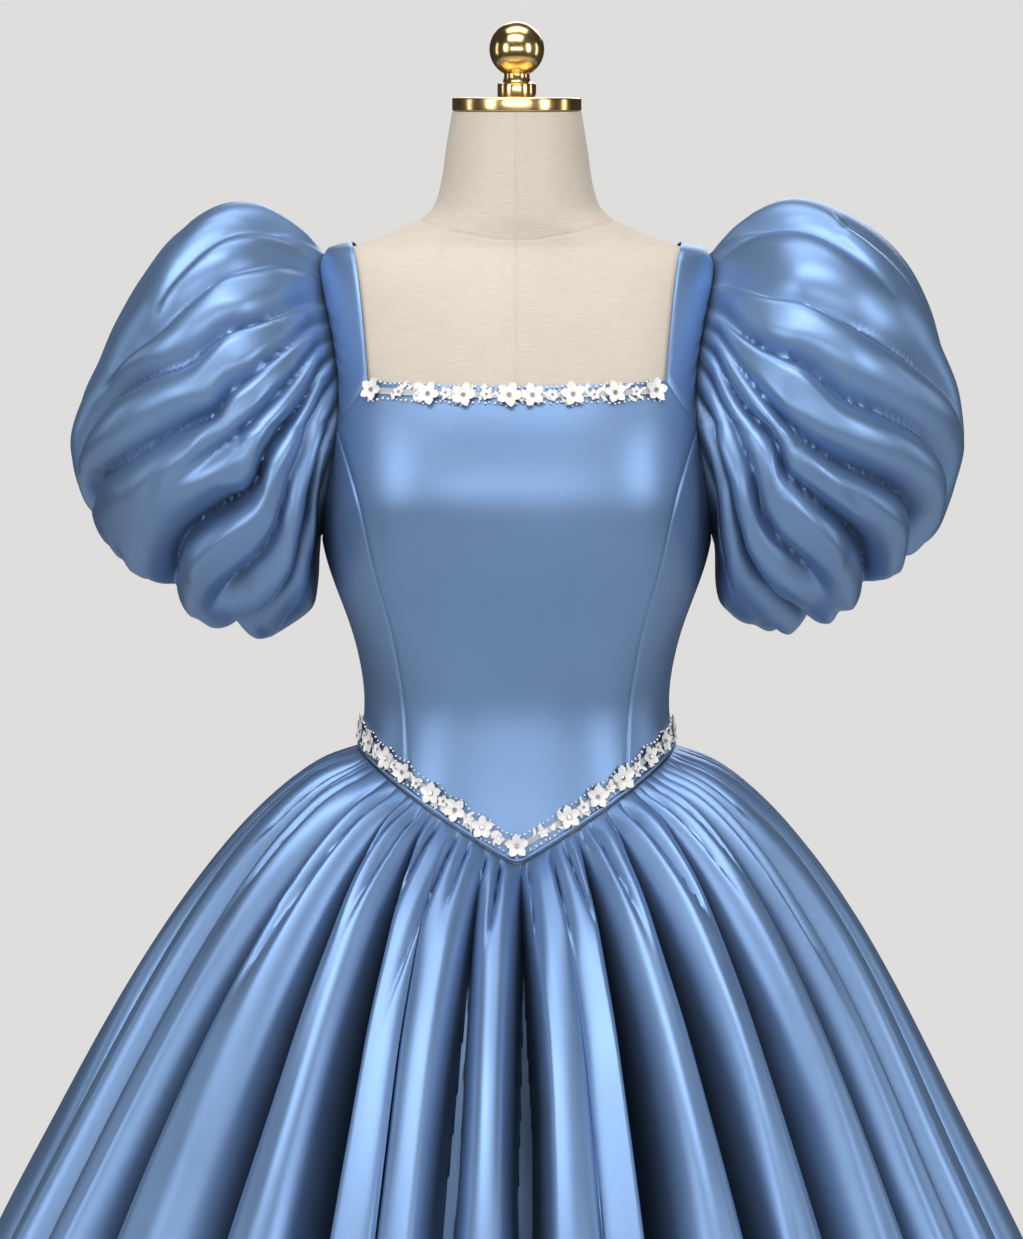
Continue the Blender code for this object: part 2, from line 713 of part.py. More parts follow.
def pillow(f):
    """0 at a fold's two valleys, 1 along its ridge."""
    return np.sqrt(np.clip(1 - np.abs(2 * f - 1) ** 2.2, 0, 1))


def valley_angles(table, first, last, phase, share):
    """The angle at each phase: whole numbers are the valleys, which run from one end's angle to the other's."""
    count = len(table)
    k = np.floor(phase).astype(int)
    f = phase - k
    begin = np.array([getattr(row, first) for row in table], float)
    end = np.array([getattr(row, last) for row in table], float)

    def at(index):
        wrap = 360.0 * (index // count)
        return mix(begin[index % count], end[index % count], share) + wrap

    return np.radians(mix(at(k), at(k + 1), f))


def valley_depths(table, phase):
    deep = np.array([row.deep for row in table])
    k = np.floor(phase).astype(int)
    f = phase - k
    near = np.where(f < 0.5, deep[k % len(table)], deep[(k + 1) % len(table)])
    return near * (1 - pillow(f))


def build_sleeves(satin):
    for side, mirror in (("left", 1.0), ("right", -1.0)):
        phase = np.array([k + c for k in range(len(SLEEVE_VALLEYS)) for c in SLEEVE_COLUMNS])
        u, phase = np.meshgrid(np.array(SLEEVE_ROWS), phase, indexing="ij")
        v = valley_angles(SLEEVE_VALLEYS, "armhole", "cuff", phase, 0.0)
        v_cuff = valley_angles(SLEEVE_VALLEYS, "armhole", "cuff", phase, 1.0)
        depth = read(SLEEVE_FOLD_DEPTH, "share", "deep", u) * valley_depths(SLEEVE_VALLEYS, phase)
        outer = puff_surface(u, v, v_cuff, depth, side)
        normals = surface_normals(outer, around=True)
        middle = np.array(PUFF_MIDDLE)
        facing = np.sign(np.sum(normals * (outer - middle), axis=-1))
        normals = normals * np.sign(np.median(facing))
        inner = outer - normals * SATIN
        flip = np.array([mirror, 1.0, 1.0])
        new_object(f"sleeve_{side}", closed_mesh(outer * flip, inner * flip, around=True), satin)


def cuff_ring(side, count):
    """The ring in which the sleeve ends, its middle and the direction out of the cuff."""
    v = np.linspace(0, 2 * math.pi, count, endpoint=False)
    ring = puff_surface(np.ones_like(v), v, v, np.zeros_like(v), side)
    middle = ring.mean(axis=0)
    across = ring[0] - ring[count // 2]
    beside = ring[count // 4] - ring[3 * count // 4]
    axis = unit(np.cross(across, beside))
    if np.dot(axis, middle - np.array(PUFF_MIDDLE)) < 0:
        axis = -axis
    return ring, middle, axis


def build_cuffs(satin):
    for side, mirror in (("left", 1.0), ("right", -1.0)):
        ends, middle, axis = cuff_ring(side, CUFF_SIDES)
        steps = np.linspace(0, 1, 2)[:, None, None]
        inward = unit(middle - ends)
        start = ends + axis * SEAM_GAP + inward * (SATIN * 0.4)
        outer = start[None] + axis * CUFF_LENGTH * steps
        inner = outer + inward[None] * SATIN
        flip = np.array([mirror, 1.0, 1.0])
        new_object(f"cuff_{side}", closed_mesh(outer * flip, inner * flip, around=True), satin)


# The skirt
def skirt_base(turn, share):
    """The skirt's outline over the ridges of its folds: (radius, height)."""
    top = waist_height(turn)
    drop = (top - HEM_Z) * share
    longest = SIDE_WAIST_Z - HEM_Z
    waist = form_radius(turn, top) + EASE + SATIN + SKIRT_OUT
    out = read(SKIRT_FLARE, "drop", "out", drop * longest / (top - HEM_Z))
    return waist + out, top - SKIRT_UNDER - drop


def skirt_surface(phase, share):
    settled = 1 - (1 - np.clip(share / SETTLED, 0, 1)) ** 2
    start = np.floor(phase)
    fold = phase - start
    turn = valley_angles(SKIRT_VALLEYS, "waist", "hem", phase, settled)
    low = valley_angles(SKIRT_VALLEYS, "waist", "hem", start, settled)
    width = valley_angles(SKIRT_VALLEYS, "waist", "hem", start + 1, settled) - low
    turn = turn - FOLD_NECK * width * np.sin(2 * math.pi * fold) * smooth(share / 0.3)
    step = 1e-3
    r, z = skirt_base(turn, share)
    r_low, z_low = skirt_base(turn, np.clip(share + step, 0, 1))
    r_high, z_high = skirt_base(turn, np.clip(share - step, 0, 1))
    out, up = z_high - z_low, r_low - r_high
    length = np.hypot(out, up)
    gather = np.clip(1 - share / GATHER_REACH, 0, 1)
    notch = np.clip(1 - np.abs(fold - 0.5) / 0.2, 0, 1) ** 1.5 * 0.9 * gather
    cut = np.maximum(valley_depths(SKIRT_VALLEYS, phase), notch)
    depth = read(SKIRT_FOLD_DEPTH, "share", "deep", share) * cut
    level = 1 - smooth((share - 0.05) / 0.5)
    lean = np.hypot(out / length, up / length * level)
    r = r - depth * out / length / lean
    z = z - depth * up / length * level / lean
    lean_out = SKIRT_LEAN * smooth(share / 0.4)
    return np.stack([r * np.sin(turn) - lean_out, -r * np.cos(turn), z], axis=-1)


def build_skirt(satin):
    rows = np.array(SKIRT_ROWS)
    for name, first, last in SKIRT_PANELS:
        phase = [k + c for k in range(first, last) for c in SKIRT_COLUMNS] + [float(last)]
        share, phase = np.meshgrid(rows, np.array(phase), indexing="ij")
        step = 0.01
        outer = skirt_surface(phase, share)
        across = skirt_surface(phase + step, share) - skirt_surface(phase - step, share)
        down = skirt_surface(phase, np.clip(share + step, 0, 1)) - skirt_surface(
            phase, np.clip(share - step, 0, 1)
        )
        normals = unit(np.cross(down, across))
        outer = drawn_in(outer, SEAM_INSET)
        inner = outer - normals * SKIRT_SATIN
        inner[-1, :, 2] = outer[-1, :, 2]
        new_object(name, closed_mesh(outer, inner), satin)


# Trims
def braid(name, turn, middle, half, flowers, lace):
    """A flowered braid on the bodice: its edges swell and its outside rises at each flower."""
    count = flowers * COLUMNS_PER_FLOWER + 1
    turn = np.interp(np.linspace(0, 1, count), np.linspace(0, 1, len(turn)), turn)
    wave = 0.5 - 0.5 * np.cos(2 * math.pi * np.arange(count) / COLUMNS_PER_FLOWER)
    across = np.array([-1.0, 0.0, 1.0])[:, None]
    z = middle(turn)[None, :] + across * (half + FLOWER_FLARE * wave)[None, :]
    grid_turn = np.broadcast_to(turn[None, :], z.shape)
    rise = FLOWER_RISE * wave[None, :] * np.array([0.3, 1.0, 0.3])[:, None]
    fitted_panel(name, grid_turn, z, lace, lift=EASE + SATIN + TRIM_OFF, thick=BRAID_BASE, rise=rise)


def build_trims(satin, lace):
    start = -math.pi + 0.03
    stop = math.pi - 0.03
    turn = np.linspace(start, stop, 57)
    z = np.stack([waist_height(turn) + BINDING_LOW, waist_height(turn) + BINDING_HIGH])
    lift = EASE + SATIN + TRIM_OFF
    fitted_panel("waist_binding", np.stack([turn, turn]), z, satin, lift=lift, thick=BINDING_THICK)
    braid(
        "trim_waist",
        turn,
        lambda t: waist_height(t) + WAIST_BRAID_MIDDLE,
        WAIST_BRAID_HALF,
        WAIST_FLOWERS,
        lace,
    )
    corner = float(turn_at(STRAP_INNER_X_FOOT - 0.006, NECKLINE_Z, 1))

    def neck_middle(t):
        x = form_radius(t, NECKLINE_Z) * np.sin(t)
        return neckline_height(x) + NECK_BRAID_MIDDLE

    braid(
        "trim_neck",
        np.linspace(-corner, corner, 41),
        neck_middle,
        NECK_BRAID_HALF,
        NECK_FLOWERS,
        lace,
    )


# The dress form and its stand
def build_form(linen, gold, iron):
    build = bmesh.new()
    z, turn = np.meshgrid(
        np.array([row.z for row in FORM]),
        np.linspace(0, 2 * math.pi, FORM_SIDES, endpoint=False),
        indexing="ij",
    )
    under = FORM_UNDER_CLOTH * (1 - smooth((z - 1.472) / 0.02)) * smooth((z - FORM_LOW) / 0.02)
    points = form_point(turn, z)
    points -= surface_normals(points, around=True) * under[..., None]
    rings = [[build.verts.new(p) for p in row] for row in points]
    for low, high in zip(rings, rings[1:]):
        for k in range(FORM_SIDES):
            n = (k + 1) % FORM_SIDES
            build.faces.new((low[k], low[n], high[n], high[k]))
    build.faces.new(list(reversed(rings[0])))
    build.faces.new(rings[-1])
    bmesh.ops.recalc_face_normals(build, faces=build.faces)
    new_object("form_torso", build, linen)

    low = FORM_TOP + SEAM_GAP
    top = low + CAP_THICK
    cap = (
        (CAP_RADIUS - CAP_LIP, low),
        (CAP_RADIUS, low + CAP_LIP),
        (CAP_RADIUS, top - CAP_LIP / 2),
        (CAP_RADIUS - CAP_LIP / 2, top),
    )
    turned("neck_cap", cap, gold)

    seat = top + SEAM_GAP
    foot = [(0.0153, 0.0), (0.0153, 0.0110), (0.0120, 0.0145), (0.0106, 0.0160)]
    neck_angle = math.asin(0.0100 / FINIAL_BALL)
    ball = [
        (FINIAL_BALL * math.sin(a), FINIAL_BALL_Z - FINIAL_BALL * math.cos(a))
        for a in np.linspace(neck_angle, math.pi - 0.18, 10)
    ]
    profile = [(r, seat + z) for r, z in foot + ball]
    turned("neck_finial", profile, gold, sides=20)

    pole = (
        (POLE_RADIUS, COLLAR_TOP + SEAM_GAP),
        (POLE_RADIUS, FORM_LOW - SEAM_GAP),
    )
    turned("form_pole", pole, iron, sides=24)
    base = (
        (BASE_RADIUS - BASE_EDGE, 0.0),
        (BASE_RADIUS, BASE_EDGE),
        (BASE_RADIUS, BASE_THICK - BASE_EDGE),
        (BASE_RADIUS - BASE_EDGE, BASE_THICK),
        (COLLAR_RADIUS, BASE_THICK + 0.004),
        (COLLAR_RADIUS - 0.006, COLLAR_TOP),
    )
    turned("form_base", base, iron)


def main():
    for old in list(bpy.data.objects):
        bpy.data.objects.remove(old, do_unlink=True)
    satin = material_of("satin", (0.118, 0.235, 0.480), 0.34)
    lace = material_of("flower_braid", (0.86, 0.84, 0.82), 0.45)
    linen = material_of("linen", (0.69, 0.61, 0.51), 0.90)
    gold = material_of("polished_gold", (0.83, 0.62, 0.28), 0.14, metallic=1.0)
    iron = material_of("stand_iron", (0.09, 0.09, 0.095), 0.45, metallic=0.8)
    tape = material_of("zip_tape", (0.10, 0.20, 0.42), 0.60)
    build_form(linen, gold, iron)
    build_front(satin)
    build_side_fronts(satin)
    build_backs(satin)
    build_zip(tape)
    build_straps(satin)
    build_sleeves(satin)
    build_cuffs(satin)
    build_skirt(satin)
    build_trims(satin, lace)


main()
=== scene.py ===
# %% [markdown]
# # A satin ball gown on its dress form
# The gown is a real garment cut from about six metres of satin: a fitted bodice, two huge gathered
# puff sleeves and a full gathered skirt. It hangs on a linen-covered dress form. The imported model
# holds every piece at its real size, and this lesson dresses it, one piece or finish for each cell.
# We start by loading that model, because every later piece takes its place from it.

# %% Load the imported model
import math
from collections import namedtuple

import bpy
import numpy as np
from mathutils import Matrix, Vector


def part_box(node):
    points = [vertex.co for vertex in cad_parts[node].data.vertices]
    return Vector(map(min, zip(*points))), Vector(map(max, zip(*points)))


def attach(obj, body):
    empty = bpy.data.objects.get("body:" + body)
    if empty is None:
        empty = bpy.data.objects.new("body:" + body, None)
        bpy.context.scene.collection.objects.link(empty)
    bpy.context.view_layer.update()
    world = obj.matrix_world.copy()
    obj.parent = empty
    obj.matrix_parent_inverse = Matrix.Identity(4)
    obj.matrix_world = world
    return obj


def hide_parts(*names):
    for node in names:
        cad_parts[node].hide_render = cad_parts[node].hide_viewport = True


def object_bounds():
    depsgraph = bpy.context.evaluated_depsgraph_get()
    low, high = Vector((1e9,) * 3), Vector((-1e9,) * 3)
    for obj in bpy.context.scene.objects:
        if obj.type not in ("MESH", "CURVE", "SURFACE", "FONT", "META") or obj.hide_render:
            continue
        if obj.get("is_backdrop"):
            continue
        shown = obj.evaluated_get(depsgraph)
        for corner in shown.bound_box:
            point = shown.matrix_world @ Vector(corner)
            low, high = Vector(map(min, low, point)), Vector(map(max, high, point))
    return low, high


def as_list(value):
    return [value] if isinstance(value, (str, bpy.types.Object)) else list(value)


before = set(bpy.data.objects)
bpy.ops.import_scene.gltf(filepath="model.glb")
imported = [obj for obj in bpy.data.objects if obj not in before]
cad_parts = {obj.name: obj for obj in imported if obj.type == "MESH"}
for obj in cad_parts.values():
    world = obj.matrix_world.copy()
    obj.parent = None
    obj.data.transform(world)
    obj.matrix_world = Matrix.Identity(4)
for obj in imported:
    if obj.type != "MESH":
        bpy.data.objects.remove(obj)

cad_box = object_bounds()
print("size of the packed model:", [round(b - a, 4) for a, b in zip(*cad_box)])

# %% [markdown]
# ## The camera and the floor
# The photograph is a close view, taken level with the waist and a little from above. A long lens far
# away keeps the proportions true. The camera comes first, so that each piece can be judged in its
# frame. The floor is a plain pale disc, small enough to end below the picture's lower edge.

# %% Camera and floor
METRES_PER_PIXEL = 0.0008
PICTURE_PIXELS = (1023, 1239)
CAMERA_DISTANCE = 4.2
CAMERA_RISE = math.radians(6)
LOOK_AT = Vector((-0.0042, 0.0, 1.1685))
SENSOR = 24.0
FLOOR_RADIUS = 2.9

scene = bpy.context.scene
scene.view_settings.view_transform = "Standard"
towards_camera = Vector((0.0, -math.cos(CAMERA_RISE), math.sin(CAMERA_RISE)))
camera_data = bpy.data.cameras.new("camera")
camera_data.sensor_width = SENSOR
camera_data.lens = SENSOR * CAMERA_DISTANCE / (PICTURE_PIXELS[1] * METRES_PER_PIXEL)
camera = bpy.data.objects.new("camera", camera_data)
camera.location = LOOK_AT + towards_camera * CAMERA_DISTANCE
camera.rotation_euler = towards_camera.to_track_quat("Z", "Y").to_euler()
scene.collection.objects.link(camera)
scene.camera = camera

bpy.ops.mesh.primitive_circle_add(vertices=96, radius=FLOOR_RADIUS, fill_type="NGON")
floor = bpy.context.object
floor.name = "floor"
floor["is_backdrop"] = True
print("lens", round(camera_data.lens, 1), "mm")

# %% [markdown]
# ## Soft studio light
# Satin shows its folds only by what it mirrors, so the light is a few big soft panels. A long low one
# stands in front at chest height, a tall one on each side of it, and two hang above. A faint strip
# marks each flank and one panel lights the back. The sky glows faintly too, but the camera sees a
# plain pale backdrop in its place.

# %% Lights
Lamp = namedtuple("Lamp", "name place aim wide high watts")
LAMPS = (
    Lamp("window", (0.0, -5.0, 1.85), (0, 0, 1.25), 4.4, 0.6, 70),
    Lamp("left_front", (-3.3, -3.0, 2.1), (0, 0, 1.1), 1.0, 2.0, 48),
    Lamp("right_front", (3.4, -2.8, 2.0), (0, 0, 1.1), 0.9, 2.0, 50),
    Lamp("ceiling", (-0.3, -1.9, 3.9), (0, 0, 1.0), 3.0, 1.2, 74),
    Lamp("overhead", (0.0, 0.2, 4.0), (0, 0, 1.0), 2.6, 1.2, 34),
    Lamp("left_strip", (-3.2, 0.2, 1.7), (0, 0, 1.1), 0.5, 1.8, 7),
    Lamp("right_strip", (3.2, 0.2, 1.6), (0, 0, 1.1), 0.5, 1.8, 9),
    Lamp("back", (0.6, 3.4, 2.9), (0, 0, 1.0), 2.4, 1.4, 36),
)
SKY_SEEN = (0.735, 0.728, 0.715)
SKY_TINT = (1.0, 0.99, 0.97)
SKY_GLOW = 0.05


def hang_lamp(lamp):
    data = bpy.data.lights.new(lamp.name, "AREA")
    data.shape = "RECTANGLE"
    data.size, data.size_y, data.energy = lamp.wide, lamp.high, lamp.watts
    made = bpy.data.objects.new(lamp.name, data)
    made.location = lamp.place
    made.rotation_euler = (Vector(lamp.place) - Vector(lamp.aim)).to_track_quat("Z", "Y").to_euler()
    made.visible_camera = False
    scene.collection.objects.link(made)


for lamp in LAMPS:
    hang_lamp(lamp)

world = bpy.data.worlds.new("sky")
world.use_nodes = True
scene.world = world
sky = world.node_tree
seen = sky.nodes.new("ShaderNodeBackground")
seen.inputs["Color"].default_value = (*SKY_SEEN, 1)
glow = sky.nodes["Background"]
glow.inputs["Color"].default_value = (*SKY_TINT, 1)
glow.inputs["Strength"].default_value = SKY_GLOW
path = sky.nodes.new("ShaderNodeLightPath")
choose = sky.nodes.new("ShaderNodeMixShader")
sky.links.new(path.outputs["Is Camera Ray"], choose.inputs[0])
sky.links.new(glow.outputs[0], choose.inputs[1])
sky.links.new(seen.outputs[0], choose.inputs[2])
sky.links.new(choose.outputs[0], sky.nodes["World Output"].inputs[0])
print(len(LAMPS), "lamps")

# %% [markdown]
# ## Reading a table smoothly
# Shapes here are short tables, one row for each section of the body or each fold of the cloth.
# `read` draws a smooth line through a column without overshooting, which is what keeps a waist from
# bulging between two of its sections.

# %% Table and grid helpers
def slopes(x, y):
    step = np.diff(y) / np.diff(x)
    found = np.empty(len(x))
    found[0], found[-1] = step[0], step[-1]
    product = step[:-1] * step[1:]
    total = step[:-1] + step[1:]
    found[1:-1] = np.where(product > 0, 2 * product / np.where(total == 0, 1, total), 0.0)
    return found


def through(x, y, at):
    """A smooth line through the points (x, y), read at each value of at."""
    x, y = np.asarray(x, float), np.asarray(y, float)
    m = slopes(x, y)
    at = np.clip(np.asarray(at, float), x[0], x[-1])
    i = np.clip(np.searchsorted(x, at, side="right") - 1, 0, len(x) - 2)
    width = x[i + 1] - x[i]
    t = (at - x[i]) / width
    rise = t * t * (3 - 2 * t)
    bend = width * (m[i] * t * (1 - t) ** 2 - m[i + 1] * t * t * (1 - t))
    return y[i] * (1 - rise) + y[i + 1] * rise + bend


def read(table, key, column, at):
    return through([getattr(r, key) for r in table], [getattr(r, column) for r in table], at)


def mix(a, b, share):
    return a + (b - a) * share


def smooth(share):
    share = np.clip(share, 0.0, 1.0)
    return share * share * (3 - 2 * share)


def eased(count, start=0.0, stop=1.0):
    """Shares from start to stop that lie closer together near both ends."""
    return start + (stop - start) * (0.5 - 0.5 * np.cos(np.linspace(0, math.pi, count)))


def unit(vectors):
    return vectors / np.maximum(np.linalg.norm(vectors, axis=-1, keepdims=True), 1e-12)


def grid_normals(points, around=False):
    """Unit normals of a grid of points. Columns run left to right as seen from outside, rows upwards."""
    across = np.gradient(points, axis=1)
    if around:
        across = np.roll(points, -1, axis=1) - np.roll(points, 1, axis=1)
    return unit(np.cross(across, np.gradient(points, axis=0)))


print("helpers ready")

# %% [markdown]
# ## The body that carries the gown
# The form is a stack of rounded sections: half its width, its depth in front and behind, and how
# square it is. The gown's bodice is fitted to this same body, so these few rows shape both.

# %% The form's sections
Section = namedtuple("Section", "z half_width front back squareness")
FORM = (
    Section(0.850, 0.1540, 0.1060, 0.1200, 2.30),
    Section(0.900, 0.1610, 0.1110, 0.1250, 2.30),
    Section(0.950, 0.1580, 0.1110, 0.1210, 2.30),
    Section(0.990, 0.1480, 0.1090, 0.1100, 2.25),
    Section(1.040, 0.1300, 0.1020, 0.0940, 2.20),
    Section(1.070, 0.1225, 0.0990, 0.0880, 2.20),
    Section(1.104, 0.1188, 0.0965, 0.0850, 2.20),
    Section(1.136, 0.1228, 0.1000, 0.0880, 2.25),
    Section(1.168, 0.1312, 0.1080, 0.0930, 2.30),
    Section(1.200, 0.1436, 0.1195, 0.0990, 2.40),
    Section(1.235, 0.1535, 0.1320, 0.1050, 2.55),
    Section(1.275, 0.1560, 0.1385, 0.1100, 2.70),
    Section(1.320, 0.1530, 0.1310, 0.1110, 2.70),
    Section(1.356, 0.1520, 0.1180, 0.1090, 2.60),
    Section(1.400, 0.1560, 0.1000, 0.1040, 2.50),
    Section(1.435, 0.1580, 0.0830, 0.0940, 2.40),
    Section(1.455, 0.1560, 0.0710, 0.0830, 2.30),
    Section(1.4625, 0.1500, 0.0655, 0.0760, 2.20),
    Section(1.470, 0.1240, 0.0610, 0.0700, 2.10),
    Section(1.480, 0.0960, 0.0600, 0.0665, 2.05),
    Section(1.490, 0.0740, 0.0600, 0.0640, 2.00),
    Section(1.500, 0.0650, 0.0595, 0.0615, 2.00),
    Section(1.520, 0.0595, 0.0575, 0.0570, 2.00),
    Section(1.542, 0.0564, 0.0550, 0.0545, 2.00),
    Section(1.5730, 0.0513, 0.0513, 0.0510, 2.00),
)
FORM_LOW, FORM_TOP = FORM[0].z, FORM[-1].z
LINE_STEP, LINE_SOFTNESS = 0.0005, 0.014
SOFT_BELOW, SOFT_FADE = 1.39, 0.04
LINE_Z = np.arange(FORM_LOW, FORM_TOP + LINE_STEP, LINE_STEP)
SMALL_STEP = 1e-3


def softened(values, steps, **ends):
    """A row of evenly spaced values whose bends are rounded over that many steps. ends says how np.pad
    carries the row on at both ends."""
    reach = int(3 * steps)
    weights = np.exp(-0.5 * (np.arange(-reach, reach + 1) / steps) ** 2)
    return np.convolve(np.pad(values, reach, **ends), weights / weights.sum(), mode="valid")


def softened_line(column):
    """A column of the table as a fine line whose bends are rounded, so that satin over it has no hard
    edge in what it mirrors. The shoulders stay as they are."""
    plain = read(FORM, "z", column, LINE_Z)
    soft = softened(plain, LINE_SOFTNESS / LINE_STEP, mode="edge")
    return mix(plain, soft, 1 - smooth((LINE_Z - SOFT_BELOW) / SOFT_FADE))


FORM_LINES = {column: softened_line(column) for column in ("half_width", "front", "back")}


def form_line(column, z):
    return np.interp(z, LINE_Z, FORM_LINES[column])


def form_radius(turn, z):
    """How far the form reaches at a height, in a direction turned from the front towards the left."""
    half = form_line("half_width", z)
    deep = np.where(np.cos(turn) > 0, form_line("front", z), form_line("back", z))
    power = read(FORM, "z", "squareness", z)
    sideways, onward = np.abs(np.sin(turn)) / half, np.abs(np.cos(turn)) / deep
    return (sideways**power + onward**power) ** (-1 / power)


def form_point(turn, z):
    turn, z = np.broadcast_arrays(turn, z)
    radius = form_radius(turn, z)
    return np.stack([radius * np.sin(turn), -radius * np.cos(turn), z * 1.0], axis=-1)


def depth_at(x, z, facing):
    """How far the form's front (facing 1) or back (-1) lies from its middle at this x."""
    half = form_line("half_width", z)
    deep = form_line("front" if facing > 0 else "back", z)
    power = read(FORM, "z", "squareness", z)
    return deep * np.clip(1 - (np.abs(x) / half) ** power, 0, None) ** (1 / power)


def turn_at(x, z, facing=1):
    """The direction in which the form's front or back has this x."""
    return np.arctan2(x, facing * depth_at(x, z, facing))


def form_normal(turn, z):
    across = form_point(turn + SMALL_STEP, z) - form_point(turn - SMALL_STEP, z)
    up = form_point(turn, z + SMALL_STEP) - form_point(turn, z - SMALL_STEP)
    return unit(np.cross(across, up))


print("the form is", round(FORM_TOP - FORM_LOW, 3), "m tall")

# %% [markdown]
# ## The lines of the cut
# A dressmaker marks a few lines on the form before cutting: the waist seam, which dips to a point in
# front, the neckline, the armholes and the princess seams that shape the bust. Each is a small
# function here, and every panel is stretched between them.

# %% Waist, armhole and neckline
HEM_Z = 0.012
TIP_Z, TIP_ROUND = 0.988, 0.035
SIDE_WAIST_Z, BACK_WAIST_Z = 1.067, 1.060
NECKLINE_Z, NECKLINE_LIFT, BACK_NECKLINE_Z = 1.362, 0.003, 1.385
ARMHOLE_LOW_Z, ARMHOLE_TOP_Z, ARMHOLE_SCOOP = 1.235, 1.4625, 0.09
STRAP_FOOT_Z, STRAP_INNER_X_FOOT, STRAP_INNER_X_TOP = 1.327, 0.1155, 0.131
ARMHOLE_MIDDLE = (ARMHOLE_TOP_Z + ARMHOLE_LOW_Z) / 2
ARMHOLE_HALF = (ARMHOLE_TOP_Z - ARMHOLE_LOW_Z) / 2
FOOT_V = math.acos((STRAP_FOOT_Z - ARMHOLE_MIDDLE) / ARMHOLE_HALF)
Princess = namedtuple("Princess", "z front_x back_x")
PRINCESS = (
    Princess(0.990, 0.0800, 0.0560),
    Princess(1.060, 0.0850, 0.0600),
    Princess(1.100, 0.0870, 0.0620),
    Princess(1.160, 0.0960, 0.0680),
    Princess(1.220, 0.1110, 0.0800),
    Princess(1.275, 0.1230, 0.0980),
    Princess(1.327, 0.1395, 0.1395),
)


def waist_height(turn):
    """The waist seam: a V in front, almost level behind."""
    half = form_line("half_width", SIDE_WAIST_Z)
    share = np.clip(np.abs(form_radius(turn, SIDE_WAIST_Z) * np.sin(turn)) / half, 0, 1)
    rounded = (np.hypot(share, TIP_ROUND) - TIP_ROUND) / (math.hypot(1, TIP_ROUND) - TIP_ROUND)
    front = mix(TIP_Z, SIDE_WAIST_Z, rounded)
    return np.where(np.cos(turn) > 0, front, mix(BACK_WAIST_Z, SIDE_WAIST_Z, share * share))


def armhole_x(z):
    level = np.clip((z - ARMHOLE_MIDDLE) / ARMHOLE_HALF, -1, 1)
    return form_line("half_width", z) * (1 - ARMHOLE_SCOOP * (1 - level * level))


def armhole_place(v):
    """(turn, height) of the armhole; v runs round it from its top towards the front."""
    z = ARMHOLE_MIDDLE + ARMHOLE_HALF * np.cos(v)
    x = armhole_x(z)
    return np.where(np.sin(v) >= 0, turn_at(x, z, 1), turn_at(x, z, -1)), z


def neckline_height(x):
    return NECKLINE_Z + NECKLINE_LIFT * (x / STRAP_INNER_X_FOOT) ** 2


def princess_foot(column, facing):
    """Where a princess seam meets the waist seam: (turn, z)."""
    z = SIDE_WAIST_Z
    for _ in range(20):
        turn = float(turn_at(float(read(PRINCESS, "z", column, z)), z, facing))
        z = float(waist_height(turn))
    return turn, z


def princess_seam(column, facing, low_z, t):
    z = mix(low_z, STRAP_FOOT_Z, t)
    return turn_at(read(PRINCESS, "z", column, z), z, facing), z


def diagonal_seam(facing, corner_z, share):
    """From the neckline's corner out to the armhole, under the strap's foot: (turn, z)."""
    z = mix(corner_z, STRAP_FOOT_Z, share)
    x = mix(STRAP_INNER_X_FOOT, float(armhole_x(STRAP_FOOT_Z)), share)
    return turn_at(x, z, facing), z


print("the V's tip lies", round(SIDE_WAIST_Z - TIP_Z, 3), "m below the side waist")

# %% [markdown]
# ## Cloth as a thin wall
# Every piece of cloth is a grid of points and a second grid just behind it, closed along the edges,
# so that the mesh has a real thickness. The grid also gives the cloth its own UV map in metres, which
# lets a weave follow the threads wherever the piece bends.

# %% A wall from a grid
SATIN, SKIRT_SATIN, EASE = 0.0017, 0.0010, 0.0007
SMOOTH_ANGLE = math.radians(50)


def lengths_along(points, axis):
    """Distance along a grid's middle line, for its UV map."""
    middle = points[:, points.shape[1] // 2] if axis == 0 else points[points.shape[0] // 2]
    return np.concatenate([[0.0], np.cumsum(np.linalg.norm(np.diff(middle, axis=0), axis=1))])


def mesh_object(name, points, faces, uvs=None, smooth_shade=True):
    mesh = bpy.data.meshes.new(name)
    mesh.from_pydata(np.asarray(points, float).tolist(), [], [list(f) for f in faces])
    if uvs is not None:
        mesh.uv_layers.new(name="cloth").data.foreach_set("uv", np.asarray(uvs, np.float32).ravel())
    if smooth_shade:
        mesh.shade_smooth()
        mesh.set_sharp_from_angle(angle=SMOOTH_ANGLE)
    piece = bpy.data.objects.new(name, mesh)
    scene.collection.objects.link(piece)
    return piece


